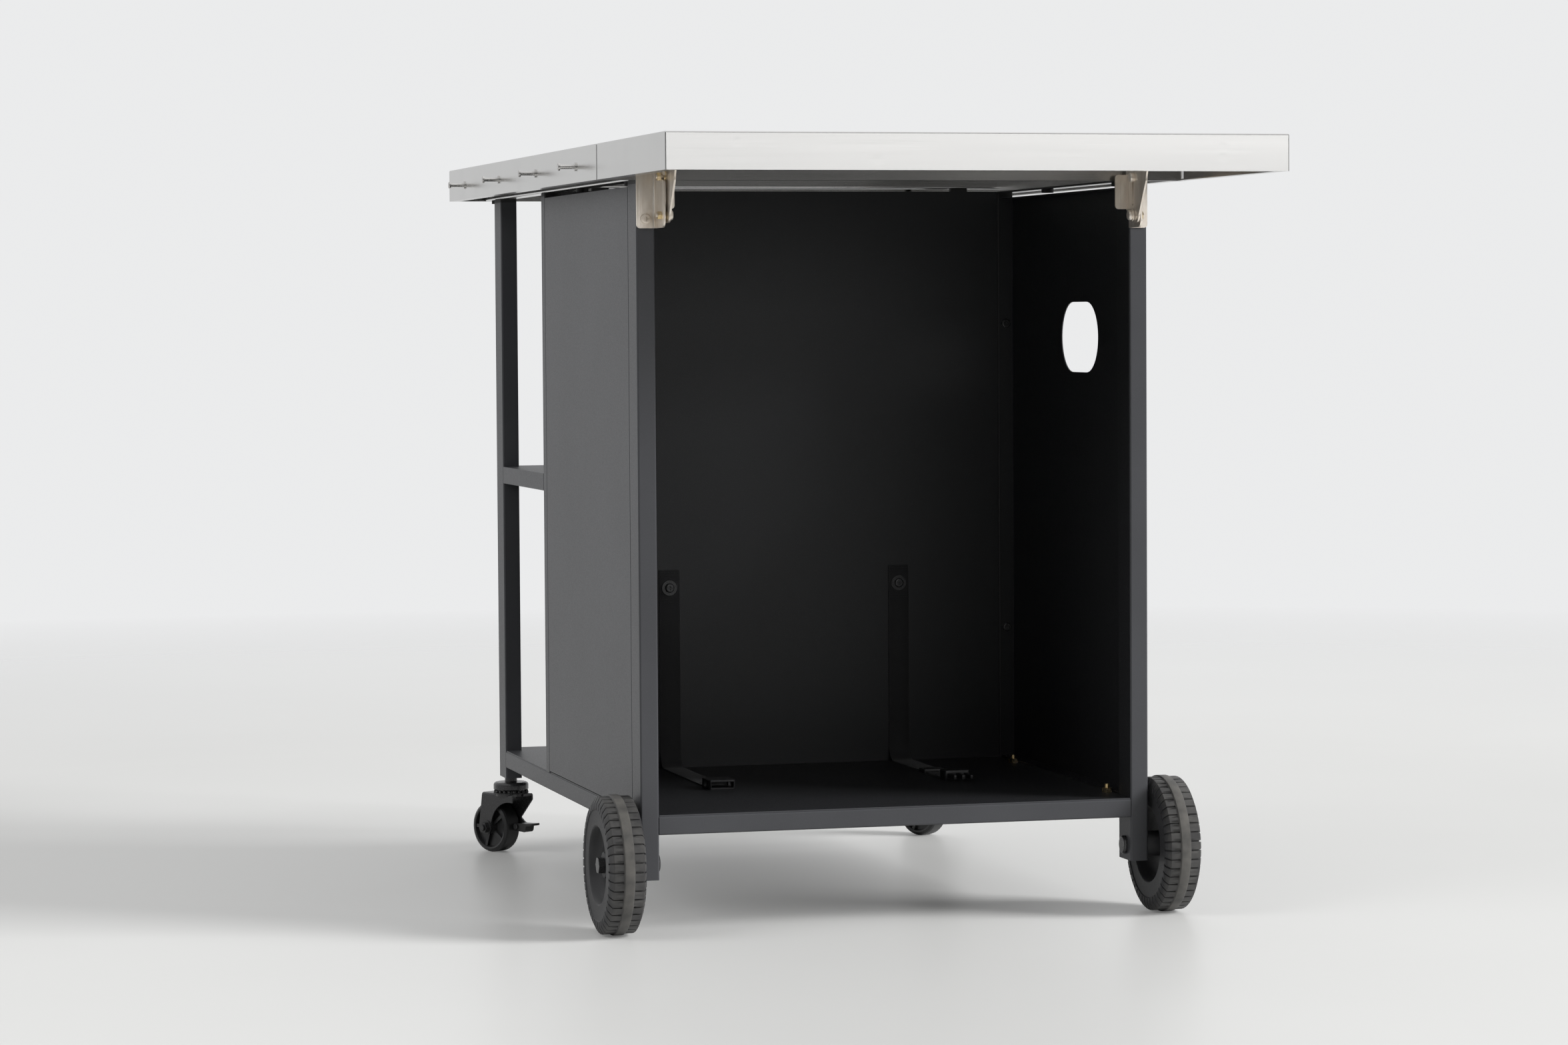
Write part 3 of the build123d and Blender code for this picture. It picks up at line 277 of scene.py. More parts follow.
@dataclass(frozen=True)
class PowderCoat:
    """Baked paint with a fine orange-peel skin."""

    name: str
    colour: Colour
    roughness: float = 0.42
    peel: float = 0.12
    specular: float = 0.34
    # A box inside which the colour is darkened, as painted shade, by the factor below.
    hollow: tuple[Point, Point] | None = None
    painted_shade_tone: float = 0.35
    cloud: float = 7.0
    fleck: float = 2600.0
    fleck_tone: float = 1.7
    grit: float = 900.0
    depth: float = 0.3 * MM

    def material(self) -> bpy.types.Material:
        """Returns the finish as a new material."""
        art = Shader(self.name)
        soft = art.span((art.noise(self.cloud), "Fac"), 0.0, 1.0)
        tint = art.blend((soft, "Result"), shade(self.colour, 0.92), shade(self.colour, 1.08))
        # Inside the hollow the colour is darkened as painted shade.
        if self.hollow is not None:
            tint = art.blend((self.painted_shade_mask(art), 0), tint, shade(self.colour, self.painted_shade_tone))
        fleck = art.span((art.noise(self.fleck, 1.0), "Fac"), 0.0, 1.0, 0.66, 0.74)
        dotted = art.blend((fleck, "Result"), tint, shade(self.colour, self.fleck_tone))
        art.link(dotted, 2, art.skin, "Base Color")
        grit = art.noise(self.grit, 2.0)
        rough = art.span((grit, "Fac"), self.roughness - 0.05, self.roughness + 0.06)
        art.link(rough, "Result", art.skin, "Roughness")
        art.skin.inputs["Specular IOR Level"].default_value = self.specular
        art.bump((grit, "Fac"), self.peel, self.depth)
        return art.material

    def painted_shade_mask(self, art: Shader) -> bpy.types.Node:
        """Marks the paint inside a hollow, where it is darkened as painted shade.

        Args:
            art: the paint's material.

        Returns:
            A Math node that is 1 inside the hollow and 0 outside.
        """
        parts = art.axes("Object")
        inside = None
        for axis, low, high in zip("XYZ", *self.hollow):
            past = art.math("GREATER_THAN", (parts, axis), low)
            short = art.math("LESS_THAN", (parts, axis), high)
            between = art.math("MULTIPLY", (past, 0), (short, 0))
            inside = between if inside is None else art.math("MULTIPLY", (inside, 0), (between, 0))
        return inside


@dataclass(frozen=True)
class BrushedSheet:
    """Stainless sheet, brushed along its bends, with the shallow marks of any spot welds."""

    name: str
    colour: Colour
    roughness: float = 0.22
    rubbed: Point = (0.1, 1.0, 1.0)
    facing: float = 0.6
    smear_scale: float = 16.0
    haze_scale: float = 5.0
    wave_scale: float = 9.0
    wave: float = 0.11
    wave_depth: float = 0.6 * MM
    line: float = 0.012
    line_depth: float = 0.2 * MM
    welds: tuple[Point, ...] = ()
    weld_radius: float = 6.0 * MM
    weld: float = 0.1
    weld_depth: float = 0.15 * MM

    def material(self) -> bpy.types.Material:
        """Returns the finish as a new material."""
        art = Shader(self.name)
        art.skin.inputs["Metallic"].default_value = 1.0
        across = art.noise(1.0, 4.0, Grain.ALONG_X.value)
        along = art.noise(1.0, 4.0, Grain.ALONG_Y.value)
        aside = art.math("ABSOLUTE", (art.axes("Normal"), "X"))
        sideways = art.math("GREATER_THAN", (aside, 0), self.facing)
        line = art.add("ShaderNodeMix")
        art.link(sideways, 0, line, 0)
        art.link(across, "Fac", line, 2)
        art.link(along, "Fac", line, 3)
        grain = art.span((line, 0), 0.0, 1.0)
        tint = art.blend((grain, "Result"), shade(self.colour, 0.98), shade(self.colour, 1.03))
        smear = art.span((art.noise(self.smear_scale, 2.0, self.rubbed), "Fac"), 0.0, 0.6, 0.5, 0.72)
        dull = art.blend((smear, "Result"), tint, shade(self.colour, 0.94))
        art.link(dull, 2, art.skin, "Base Color")
        streak = art.span((line, 0), self.roughness - 0.02, self.roughness + 0.02)
        haze = art.span((art.noise(self.haze_scale, 3.0, self.rubbed), "Fac"), -0.015, 0.015)
        rough = art.math("ADD", (streak, "Result"), (haze, "Result"))
        art.link(rough, 0, art.skin, "Roughness")
        relief = art.bump((art.noise(self.wave_scale, 1.0), "Fac"), self.wave, self.wave_depth)
        relief = art.bump((line, 0), self.line, self.line_depth, relief)
        for spot in self.welds:
            relief = self.dent(art, spot, relief)
        return art.material

    def dent(self, art: Shader, spot: Point, under: bpy.types.Node) -> bpy.types.Node:
        """Presses one round spot-weld mark into the sheet.

        Args:
            art: the sheet's material.
            spot: the mark's middle, in metres.
            under: the relief so far.

        Returns:
            The Bump node with the mark in it.
        """
        reach = art.add("ShaderNodeVectorMath")
        reach.operation = "DISTANCE"
        art.link(art.place, "Object", reach, 0)
        reach.inputs[1].default_value = spot
        hollow = art.span((reach, "Value"), 0.0, 1.0, 0.35 * self.weld_radius, self.weld_radius)
        hollow.interpolation_type = "SMOOTHSTEP"
        return art.bump((hollow, "Result"), self.weld, self.weld_depth, under)


@dataclass(frozen=True)
class Plated:
    """Plated or bare steel hardware with faint blotches."""

    name: str
    colour: Colour
    cast: Colour
    roughness: float = 0.3
    grain: Grain = Grain.NONE
    streak: Point = (1.0, 1.0, 1.0)
    metallic: float = 1.0
    blotch: float = 120.0
    relief: float = 0.05
    depth: float = 0.2 * MM

    def material(self) -> bpy.types.Material:
        """Returns the finish as a new material."""
        art = Shader(self.name)
        art.skin.inputs["Metallic"].default_value = self.metallic
        blotch = art.span((art.noise(self.blotch, 4.0, self.streak), "Fac"), 0.0, 1.0)
        tint = art.blend((blotch, "Result"), self.colour, self.cast)
        art.link(tint, 2, art.skin, "Base Color")
        line = art.noise(1.0, 3.0, self.grain.value)
        rough = art.span((line, "Fac"), self.roughness - 0.07, self.roughness + 0.1)
        art.link(rough, "Result", art.skin, "Roughness")
        art.bump((line, "Fac"), self.relief, self.depth)
        return art.material


@dataclass(frozen=True)
class Moulded:
    """Moulded plastic or rubber with a fine texture and some dust."""

    name: str
    colour: Colour
    dust: Colour
    roughness: float = 0.5
    texture: float = 0.1
    cloud: float = 35.0
    grit: float = 1400.0
    depth: float = 0.3 * MM

    def material(self) -> bpy.types.Material:
        """Returns the finish as a new material."""
        art = Shader(self.name)
        cloud = art.span((art.noise(self.cloud, 5.0), "Fac"), 0.0, 1.0, 0.42, 0.75)
        tint = art.blend((cloud, "Result"), self.colour, self.dust)
        art.link(tint, 2, art.skin, "Base Color")
        fine = art.noise(self.grit, 2.0)
        rough = art.span((fine, "Fac"), self.roughness - 0.06, self.roughness + 0.1)
        art.link(rough, "Result", art.skin, "Roughness")
        art.bump((fine, "Fac"), self.texture, self.depth)
        return art.material


@dataclass(frozen=True)
class DustyTread:
    """Moulded wheel, darker on its face, with floor dust ground into the tread."""

    name: str
    colour: Colour
    worn: Colour
    dust: Colour
    axle: Point
    lugs: tuple[float, float] = (66.0 * MM, 71.0 * MM)
    rib: tuple[float, float] = (73.2 * MM, 74.6 * MM)
    roughness: float = 0.5
    texture: float = 0.12
    cloud: float = 60.0
    grit: float = 1400.0
    depth: float = 0.3 * MM

    def material(self) -> bpy.types.Material:
        """Returns the finish as a new material."""
        art = Shader(self.name)
        hub = art.add("ShaderNodeMapping", Location=(0.0, -self.axle[1], -self.axle[2]))
        art.link(art.place, "Object", hub, "Vector")
        parts = art.add("ShaderNodeSeparateXYZ")
        art.link(hub, "Vector", parts, "Vector")
        along = art.math("POWER", (parts, "Y"), 2.0)
        upward = art.math("POWER", (parts, "Z"), 2.0)
        radius = art.math("SQRT", (art.math("ADD", (along, 0), (upward, 0)), 0))
        cloud = art.span((art.noise(self.cloud, 6.0), "Fac"), 0.35, 1.0, 0.35, 0.68)
        tint = self.colour
        for band, tone in ((self.lugs, self.worn), (self.rib, self.dust)):
            outer = art.span((radius, 0), 0.0, 1.0, *band)
            ground = art.math("MULTIPLY", (outer, "Result"), (cloud, "Result"))
            tint = art.blend((ground, 0), tint, tone)
        art.link(tint, 2, art.skin, "Base Color")
        fine = art.noise(self.grit, 2.0)
        rough = art.span((fine, "Fac"), self.roughness - 0.06, self.roughness + 0.1)
        art.link(rough, "Result", art.skin, "Roughness")
        art.bump((fine, "Fac"), self.texture, self.depth)
        return art.material


@dataclass(frozen=True)
class Webbing:
    """Woven strap: ribs across it and yarns along it."""

    name: str
    colour: Colour
    rib: float = 2.1 * MM
    yarn: float = 1.5 * MM
    roughness: float = 0.75
    sheen: float = 0.15
    weave: float = 0.5
    depth: float = 0.4 * MM

    def material(self) -> bpy.types.Material:
        """Returns the finish as a new material."""
        art = Shader(self.name)
        parts = art.axes("Object")
        run = art.math("ADD", (parts, "Y"), (parts, "Z"))
        ribs = art.math("SINE", (art.math("MULTIPLY", (run, 0), 2.0 * math.pi / self.rib), 0))
        yarns = art.math("SINE", (art.math("MULTIPLY", (parts, "X"), 2.0 * math.pi / self.yarn), 0))
        weave = art.math("MULTIPLY", (ribs, 0), (yarns, 0))
        level = art.span((weave, 0), 0.0, 1.0, -1.0, 1.0)
        tint = art.blend((level, "Result"), shade(self.colour, 0.6), shade(self.colour, 1.7))
        art.link(tint, 2, art.skin, "Base Color")
        art.skin.inputs["Roughness"].default_value = self.roughness
        art.skin.inputs["Sheen Weight"].default_value = self.sheen
        art.bump((level, "Result"), self.weave, self.depth)
        return art.material


class Bench:
    """Makes, edits and joins pieces, one at a time."""

    @staticmethod
    def clear() -> None:
        """Leaves edit mode and deselects everything."""
        if bpy.context.mode != "OBJECT":
            bpy.ops.object.mode_set(mode="OBJECT")
        bpy.ops.object.select_all(action="DESELECT")

    @staticmethod
    def pick(piece: bpy.types.Object) -> None:
        """Selects one piece and makes it the active one."""
        Bench.clear()
        piece.select_set(True)
        bpy.context.view_layer.objects.active = piece

    @staticmethod
    def take(name: str) -> bpy.types.Object:
        """Names the piece that was just added.

        Args:
            name: the piece's name.

        Returns:
            The active object.
        """
        piece = bpy.context.active_object
        piece.name = name
        piece.data.name = name
        return piece

    @staticmethod
    def settle(piece: bpy.types.Object) -> None:
        """Puts a piece's place and turn into its mesh."""
        Bench.pick(piece)
        bpy.ops.object.transform_apply(location=True, rotation=True, scale=True)

    @staticmethod
    def apply(piece: bpy.types.Object) -> None:
        """Applies a piece's modifiers in order."""
        Bench.pick(piece)
        for modifier in list(piece.modifiers):
            bpy.ops.object.modifier_apply(modifier=modifier.name)

    @staticmethod
    def copy(piece: bpy.types.Object, name: str) -> bpy.types.Object:
        """Copies a piece with a mesh of its own.

        Args:
            piece: the piece to copy.
            name: the copy's name.

        Returns:
            The copy.
        """
        Bench.pick(piece)
        bpy.ops.object.duplicate(linked=False)
        return Bench.take(name)

    @staticmethod
    def join(pieces: list[bpy.types.Object], name: str) -> bpy.types.Object:
        """Joins pieces into one.

        Args:
            pieces: the pieces, the first of which stays.
            name: the joined piece's name.

        Returns:
            The joined piece.
        """
        Bench.clear()
        for piece in pieces:
            piece.select_set(True)
        bpy.context.view_layer.objects.active = pieces[0]
        bpy.ops.object.join()
        return Bench.take(name)

    @staticmethod
    def flare(factor: float, rise: float, centre: Point) -> None:
        """Extrudes the selected rim upwards and resizes it.

        Args:
            factor: how much wider it gets.
            rise: how far it goes up.
            centre: the point that it grows about.
        """
        bpy.ops.mesh.extrude_region_move(TRANSFORM_OT_translate={"value": (0.0, 0.0, rise)})
        bpy.ops.transform.resize(value=(factor, factor, 1.0), center_override=centre)

    @staticmethod
    def smooth(piece: bpy.types.Object, angle: float = 35.0) -> None:
        """Shades a piece smooth across edges flatter than an angle in degrees."""
        Bench.pick(piece)
        bpy.ops.object.shade_smooth_by_angle(angle=math.radians(angle))

    @staticmethod
    def dress(piece: bpy.types.Object, material: bpy.types.Material) -> None:
        """Gives a piece its one material."""
        piece.data.materials.clear()
        piece.data.materials.append(material)


@dataclass
class PhotoCamera:
    """The camera as fitted to the photograph."""

    position: Point = (-1.3056, -4.7158, 0.6571)
    yaw: float = 14.954
    pitch: float = -2.730
    roll: float = -0.374
    focal: float = 6483.0
    width: float = 2352.0

    def build(self) -> None:
        """Adds the camera and makes it the scene's own."""
        yaw, pitch, roll = (math.radians(a) for a in (self.yaw, self.pitch, self.roll))
        ahead = Vector((math.sin(yaw) * math.cos(pitch), math.cos(yaw) * math.cos(pitch), math.sin(pitch)))
        level = Vector((math.cos(yaw), -math.sin(yaw), 0.0))
        over = level.cross(ahead)
        right = level * math.cos(roll) + over * math.sin(roll)
        up = over * math.cos(roll) - level * math.sin(roll)
        data = bpy.data.cameras.new("camera")
        data.sensor_width = 36.0
        data.lens = self.focal / self.width * data.sensor_width
        camera = bpy.data.objects.new("camera", data)
        bpy.context.scene.collection.objects.link(camera)
        turn = Matrix((right, up, -ahead)).transposed().to_4x4()
        camera.matrix_world = Matrix.Translation(Vector(self.position)) @ turn
        bpy.context.scene.camera = camera


@dataclass(frozen=True)
class Lamp:
    """A soft box aimed at the table."""

    name: str
    place: Point
    size: tuple[float, float]
    power: float
    target: Point = (0.0, 0.0, 0.5)
    mirrored: bool = True

    def build(self) -> None:
        """Adds the lamp, turned to its target."""
        data = bpy.data.lights.new(self.name, "AREA")
        data.shape = "RECTANGLE"
        data.size, data.size_y = self.size
        data.energy = self.power
        lamp = bpy.data.objects.new(self.name, data)
        lamp.location = self.place
        lamp.visible_glossy = self.mirrored
        lamp.rotation_euler = (Vector(self.target) - Vector(self.place)).to_track_quat("-Z", "Y").to_euler()
        bpy.context.scene.collection.objects.link(lamp)


@dataclass
class Studio:
    """Pale floor, white surroundings and soft light."""

    floor_colour: Colour = (0.625, 0.625, 0.615)
    floor_glow: Colour = (0.66, 0.66, 0.65)
    floor_lift: float = 0.16
    floor_cloud: float = 1.1
    floor_rough: float = 0.34
    floor_specular: float = 0.18
    wall_colour: Colour = (0.83, 0.835, 0.84)
    low_light: float = 0.10
    high_light: float = 0.45
    front_gloss: float = 0.15
    back_gloss: float = 0.84
    floor_radius: float = 9.0
    floor_fade: tuple[float, float] = (1.8, 4.9)
    lamps: tuple[Lamp, ...] = (
        Lamp("main", (9.3, -5.1, 4.7), (4.2, 5.1), 2420.0, mirrored=False),
        Lamp("side", (-3.6, -0.9, 2.6), (2.4, 2.0), 70.0, mirrored=False),
        Lamp("front", (1.3, -5.0, 1.22), (4.0, 0.8), 18.4, (0.2, -0.5, 1.0)),
        Lamp("top", (0.2, 0.4, 3.4), (2.6, 2.6), 7.4),
        Lamp("ceiling", (0.2, 0.4, 3.4), (2.6, 2.6), 12.6, mirrored=False),
        Lamp("back", (0.8, 3.6, 2.4), (2.6, 1.6), 30.0, mirrored=False),
    )

    def build(self) -> None:
        """Adds the world, the floor and the lamps."""
        self.surround()
        self.floor()
        for lamp in self.lamps:
            lamp.build()

    def surround(self) -> None:
        """Lights the scene mostly from above and shows white walls to the camera and to reflections."""
        world = bpy.data.worlds.new("studio")
        bpy.context.scene.world = world
        world.use_nodes = True
        sky = Wiring(world.node_tree)
        out = sky.add("ShaderNodeOutputWorld")
        facing = sky.axes("Generated")
        ray = sky.add("ShaderNodeLightPath")
        wall = sky.add("ShaderNodeBackground", Color=(*self.wall_colour, 1.0))
        mirrored = sky.add("ShaderNodeBackground", Color=(*self.wall_colour, 1.0))
        behind = sky.span((facing, "Y"), self.front_gloss, self.back_gloss, -0.9, 0.6)
        overhead = sky.span((facing, "Z"), 0.0, 1.0, 0.15, 0.6)
        sky.link(sky.math("MAXIMUM", (behind, "Result"), (overhead, "Result")), 0, mirrored, "Strength")
        soft = sky.add("ShaderNodeBackground", Color=(1.0, 1.0, 1.0, 1.0))
        height = sky.span((facing, "Z"), self.low_light, self.high_light, 0.0, 1.0)
        sky.link(height, "Result", soft, "Strength")
        shine = sky.add("ShaderNodeMixShader")
        sky.link(ray, "Is Glossy Ray", shine, "Fac")
        sky.link(soft, 0, shine, 1)
        sky.link(mirrored, 0, shine, 2)
        seen = sky.math("MAXIMUM", (ray, "Is Camera Ray"), (ray, "Is Transmission Ray"))
        pick = sky.add("ShaderNodeMixShader")
        sky.link(seen, 0, pick, "Fac")
        sky.link(shine, 0, pick, 1)
        sky.link(wall, 0, pick, 2)
        sky.link(pick, 0, out, "Surface")

    def floor(self) -> None:
        """Lays a round, slightly glossy floor that fades into the surroundings."""
        Bench.clear()
        bpy.ops.mesh.primitive_circle_add(vertices=96, radius=self.floor_radius, fill_type="NGON")
        floor = Bench.take("floor")
        art = Shader("floor")
        cloud = art.span((art.noise(self.floor_cloud, 6.0), "Fac"), 0.0, 1.0)
        reach = art.add("ShaderNodeVectorMath")
        reach.operation = "LENGTH"
        art.link(art.place, "Object", reach, 0)
        tint = art.blend((cloud, "Result"), shade(self.floor_colour, 0.96), self.floor_colour)
        art.link(tint, 2, art.skin, "Base Color")
        art.skin.inputs["Roughness"].default_value = self.floor_rough
        art.skin.inputs["Specular IOR Level"].default_value = self.floor_specular
        glow = art.add("ShaderNodeEmission", Color=(*self.floor_glow, 1.0))
        lift = art.math("MULTIPLY", (art.add("ShaderNodeLightPath"), "Is Camera Ray"), self.floor_lift)
        lit = art.add("ShaderNodeMixShader")
        art.link(lift, 0, lit, 0)
        art.link(art.skin, "BSDF", lit, 1)
        art.link(glow, "Emission", lit, 2)
        fade = art.span((reach, "Value"), 0.0, 1.0, *self.floor_fade)
        clear = art.add("ShaderNodeBsdfTransparent")
        mix = art.add("ShaderNodeMixShader")
        art.link(fade, "Result", mix, 0)
        art.link(lit, "Shader", mix, 1)
        art.link(clear, "BSDF", mix, 2)
        art.link(mix, "Shader", art.out, "Surface")
        Bench.dress(floor, art.material)


class Wardrobe:
    """The finishes, by the record's slot names."""

    finishes = {
        # The charcoal coat is darkened inside the bay as painted shade.
        "powder_coat": PowderCoat("charcoal_powder_coat", (0.045, 0.046, 0.050), hollow=SHADED_BAY_BOX),
        "top_steel": BrushedSheet("brushed_stainless", (0.64, 0.635, 0.625), welds=WELD_MARKS),
        "peg_steel": Plated("bright_peg", (0.6, 0.59, 0.57), (0.5, 0.49, 0.48), 0.22),
        "bracket_steel": Plated(
            "nickel_bracket",
            (0.9, 0.84, 0.76),
            (0.72, 0.64, 0.55),
            0.34,
            grain=Grain.ALONG_Z,
            streak=(1.0, 1.0, 0.25),
            metallic=0.78,
        ),
        "yellow_zinc": Plated("yellow_zinc", (0.72, 0.56, 0.27), (0.6, 0.5, 0.36), 0.26),
        "black_steel": PowderCoat(
            "black_hardware", (0.026, 0.026, 0.027), roughness=0.24, peel=0.05, specular=0.6
        ),
        "wheel_plastic": DustyTread(
            "wheel_moulding",
            colour=(0.018, 0.018, 0.0195),
            worn=(0.046, 0.045, 0.0435),
            dust=(0.088, 0.084, 0.077),
            axle=FRONT_AXLE,
        ),
        "roller_plastic": Moulded(
            "roller_moulding", (0.017, 0.017, 0.018), (0.028, 0.028, 0.027), roughness=0.34, texture=0.06
        ),
        "pedal_plastic": Moulded(
            "pedal_moulding", (0.011, 0.011, 0.011), (0.019, 0.019, 0.019), roughness=0.32, texture=0.06
        ),
        "pad_rubber": Moulded(
            "pad_rubber", (0.01, 0.01, 0.01), (0.018, 0.018, 0.018), roughness=0.6, texture=0.15
        ),
        "webbing": Webbing("strap_webbing", (0.012, 0.012, 0.013)),
        "buckle_plastic": Moulded(
            "buckle_moulding", (0.01, 0.01, 0.011), (0.016, 0.016, 0.016), roughness=0.38, texture=0.05
        ),
    }

    def __init__(self) -> None:
        """Makes one material for each slot."""
        self.materials = {slot: finish.material() for slot, finish in self.finishes.items()}

    def dress_nodes(self, frame: dict) -> None:
        """Gives every carried-over node the material of its slot.
        """
        slots = {part["node"]: part["material_slot"] for part in frame["record"]["subparts"]}
        for node, piece in frame["nodes"].items():
            Bench.dress(piece, self.materials[slots[node]])
            LOG.info("dressed %s with %s", node, slots[node])


@dataclass
class BottleStrap:
    """The two hanging halves of the webbing strap."""

    wardrobe: Wardrobe
    width: float = 25.0 * MM
    thickness: float = 1.5 * MM
    edge: float = 0.45 * MM
    bend: float = 20.0 * MM
    bend_steps: int = 10
    thread: float = 0.6 * MM
    stitch_step: float = 3.2 * MM
    stitches: int = 3
    screw_rows: tuple[float, ...] = (4.0 * MM, 7.0 * MM, 36.0 * MM, 39.0 * MM)
    buckle_rows: tuple[float, ...] = (8.0 * MM, 11.0 * MM, 30.0 * MM, 33.0 * MM)

    def build(self) -> None:
        """Makes both halves in place of their plain solids."""
        for node in ("tank_strap_left", "tank_strap_right"):
            self.half(node)

    def route(self, node: str) -> list[Vector]:
        """Leads one half down the partition, round a bend and forward on the floor of the bay.

        Args:
            node: the solid that it stands for.

        Returns:
            Points along the middle of the strap's thickness, in the plane of Y and Z.
        """
        low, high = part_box(node)
        wall_y = high[1] - 0.5 * self.thickness
        floor_z = low[2] + 0.5 * self.thickness
        points = [Vector((0.0, wall_y, high[2] - 1.0 * MM)), Vector((0.0, wall_y, floor_z + self.bend))]
        for step in range(1, self.bend_steps + 1):
            turn = 0.5 * math.pi * step / self.bend_steps
            y = wall_y - self.bend * (1.0 - math.cos(turn))
            z = floor_z + self.bend * (1.0 - math.sin(turn))
            points.append(Vector((0.0, y, z)))
        points.append(Vector((0.0, low[1] + 0.2 * MM, floor_z)))
        return points

    def strip(self, node: str, middle: float, route: list[Vector]) -> bpy.types.Object:
        """Draws the edge of the webbing along its route and thickens it.

        Args:
            node: the solid that the strap stands for.
            middle: the strap's centre along X.
            route: the points that it follows.

        Returns:
            The webbing of one half.
        """
        Bench.clear()
        bpy.ops.mesh.primitive_plane_add(size=1.0)
        piece = Bench.take(node + "_webbing")
        bpy.ops.object.mode_set(mode="EDIT")
        bpy.ops.mesh.delete(type="ONLY_FACE")
        bpy.ops.object.mode_set(mode="OBJECT")
        self.edge_only(piece, middle, route[0])
        bpy.ops.object.mode_set(mode="EDIT")
        for here, there in zip(route, route[1:]):
            bpy.ops.mesh.extrude_region_move(TRANSFORM_OT_translate={"value": there - here})
        bpy.ops.object.mode_set(mode="OBJECT")
        wall = piece.modifiers.new("thickness", "SOLIDIFY")
        wall.thickness = self.thickness
        wall.offset = 0.0
        edge = piece.modifiers.new("edge", "BEVEL")
        edge.width = self.edge
        edge.segments = 2
        edge.limit_method = "ANGLE"
        edge.angle_limit = math.radians(60.0)
        Bench.apply(piece)
        Bench.smooth(piece)
        return piece

    def half(self, node: str) -> None:
        """Makes one half of the strap and sews it.

        Args:
            node: the solid that it stands for.
        """
        low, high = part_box(node)
        middle = 0.5 * (high[0] + low[0])
        route = self.route(node)
        piece = self.strip(node, middle, route)
        Bench.dress(piece, self.wardrobe.materials["webbing"])
        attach(piece, "cart")
        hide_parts(node)
        stitching = self.stitching(node, middle, route[0].y, route[-1].z)

    def stitching(self, node: str, middle: float, wall_y: float, floor_z: float) -> bpy.types.Object:
        """Sews rows of stitches across the strap, round its screw and behind its buckle.

        Args:
            node: the solid that the strap stands for.
            middle: the strap's centre along X.
            wall_y: the middle of the hanging part's thickness.
            floor_z: the middle of the lying part's thickness.

        Returns:
            The stitches, as one piece on the cart.
        """
        low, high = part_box(node)
        proud = 0.5 * self.thickness + 0.05 * MM
        rows = [(wall_y - proud, high[2] - drop) for drop in self.screw_rows]
        rows += [(low[1] + back, floor_z + proud) for back in self.buckle_rows]
        first = self.stitch(node)
        pieces = []
        for y, z in rows:
            for column in range(-self.stitches, self.stitches + 1):
                piece = first if not pieces else Bench.copy(first, "stitch_%d" % len(pieces))
                piece.location = (middle + column * self.stitch_step, y, z)
                pieces.append(piece)
        for piece in pieces:
            Bench.settle(piece)
        sewn = Bench.join(pieces, node + "_stitching")
        Bench.dress(sewn, self.wardrobe.materials["webbing"])
        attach(sewn, "cart")
        return sewn

    def stitch(self, node: str) -> bpy.types.Object:
        """Returns one stitch: a short thread, rounded at its ends."""
        Bench.clear()
        bpy.ops.mesh.primitive_cube_add(size=1.0)
        piece = Bench.take(node + "_stitching")
        bpy.ops.object.mode_set(mode="EDIT")
        bpy.ops.mesh.select_all(action="SELECT")
        size = (0.82 * self.stitch_step, self.thread, self.thread)
        bpy.ops.transform.resize(value=size, center_override=(0.0, 0.0, 0.0))
        bpy.ops.mesh.bevel(offset=0.35 * self.thread, segments=2, affect="EDGES")
        bpy.ops.object.mode_set(mode="OBJECT")
        return piece

    def edge_only(self, piece: bpy.types.Object, middle: float, start: Vector) -> None:
        """Shrinks a new plane to the one edge that the strap grows from.

        Args:
            piece: the plane, with no face.
            middle: the strap's centre along X.
            start: the first point of its route.
        """
        mesh = piece.data
        for vertex in mesh.vertices:
            vertex.select = vertex.co.y > 0.0
        bpy.ops.object.mode_set(mode="EDIT")
        bpy.ops.mesh.select_mode(type="VERT")
        bpy.ops.mesh.select_all(action="INVERT")
        bpy.ops.mesh.delete(type="VERT")
        bpy.ops.mesh.select_all(action="SELECT")
        bpy.ops.object.mode_set(mode="OBJECT")
        for vertex in mesh.vertices:
            side = 0.5 * self.width if vertex.co.x > 0.0 else -0.5 * self.width
            vertex.co = (middle + side, start.y, start.z)


@dataclass
class RoundedCasting:
    """A moulding with its edges broken as a mould leaves them, narrowed where it takes the strap."""

    wardrobe: Wardrobe
    node: str
    body: str
    slot: str
    edge: float
    narrow: float = 1.0
    sharp: float = 38.0
    merge: float = 0.01 * MM

    def build(self, frame: dict) -> None:
        """Narrows and rounds a copy of the solid and puts it in the solid's place.
        """
        name = self.node + "_rounded"
        mesh = frame["nodes"][self.node].data.copy()
        piece = bpy.data.objects.new(name, mesh)
        bpy.context.scene.collection.objects.link(piece)
        mesh.name = name
        Bench.pick(piece)
        bpy.ops.object.mode_set(mode="EDIT")
        bpy.ops.mesh.select_all(action="SELECT")
        bpy.ops.mesh.remove_doubles(threshold=self.merge)
        low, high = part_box(self.node)
        middle = (0.5 * (low[0] + high[0]), 0.0, 0.0)
        bpy.ops.transform.resize(value=(self.narrow, 1.0, 1.0), center_override=middle)
        bpy.ops.object.mode_set(mode="OBJECT")
        broken = piece.modifiers.new("edges", "BEVEL")
        broken.width = self.edge
        broken.segments = 2
        broken.limit_method = "ANGLE"
        broken.angle_limit = math.radians(self.sharp)
        broken.use_clamp_overlap = False
        Bench.apply(piece)
        Bench.smooth(piece, self.sharp)
        Bench.dress(piece, self.wardrobe.materials[self.slot])
        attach(piece, self.body)
        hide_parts(self.node)
        LOG.info("rounded %s: %d faces", self.node, len(piece.data.polygons))


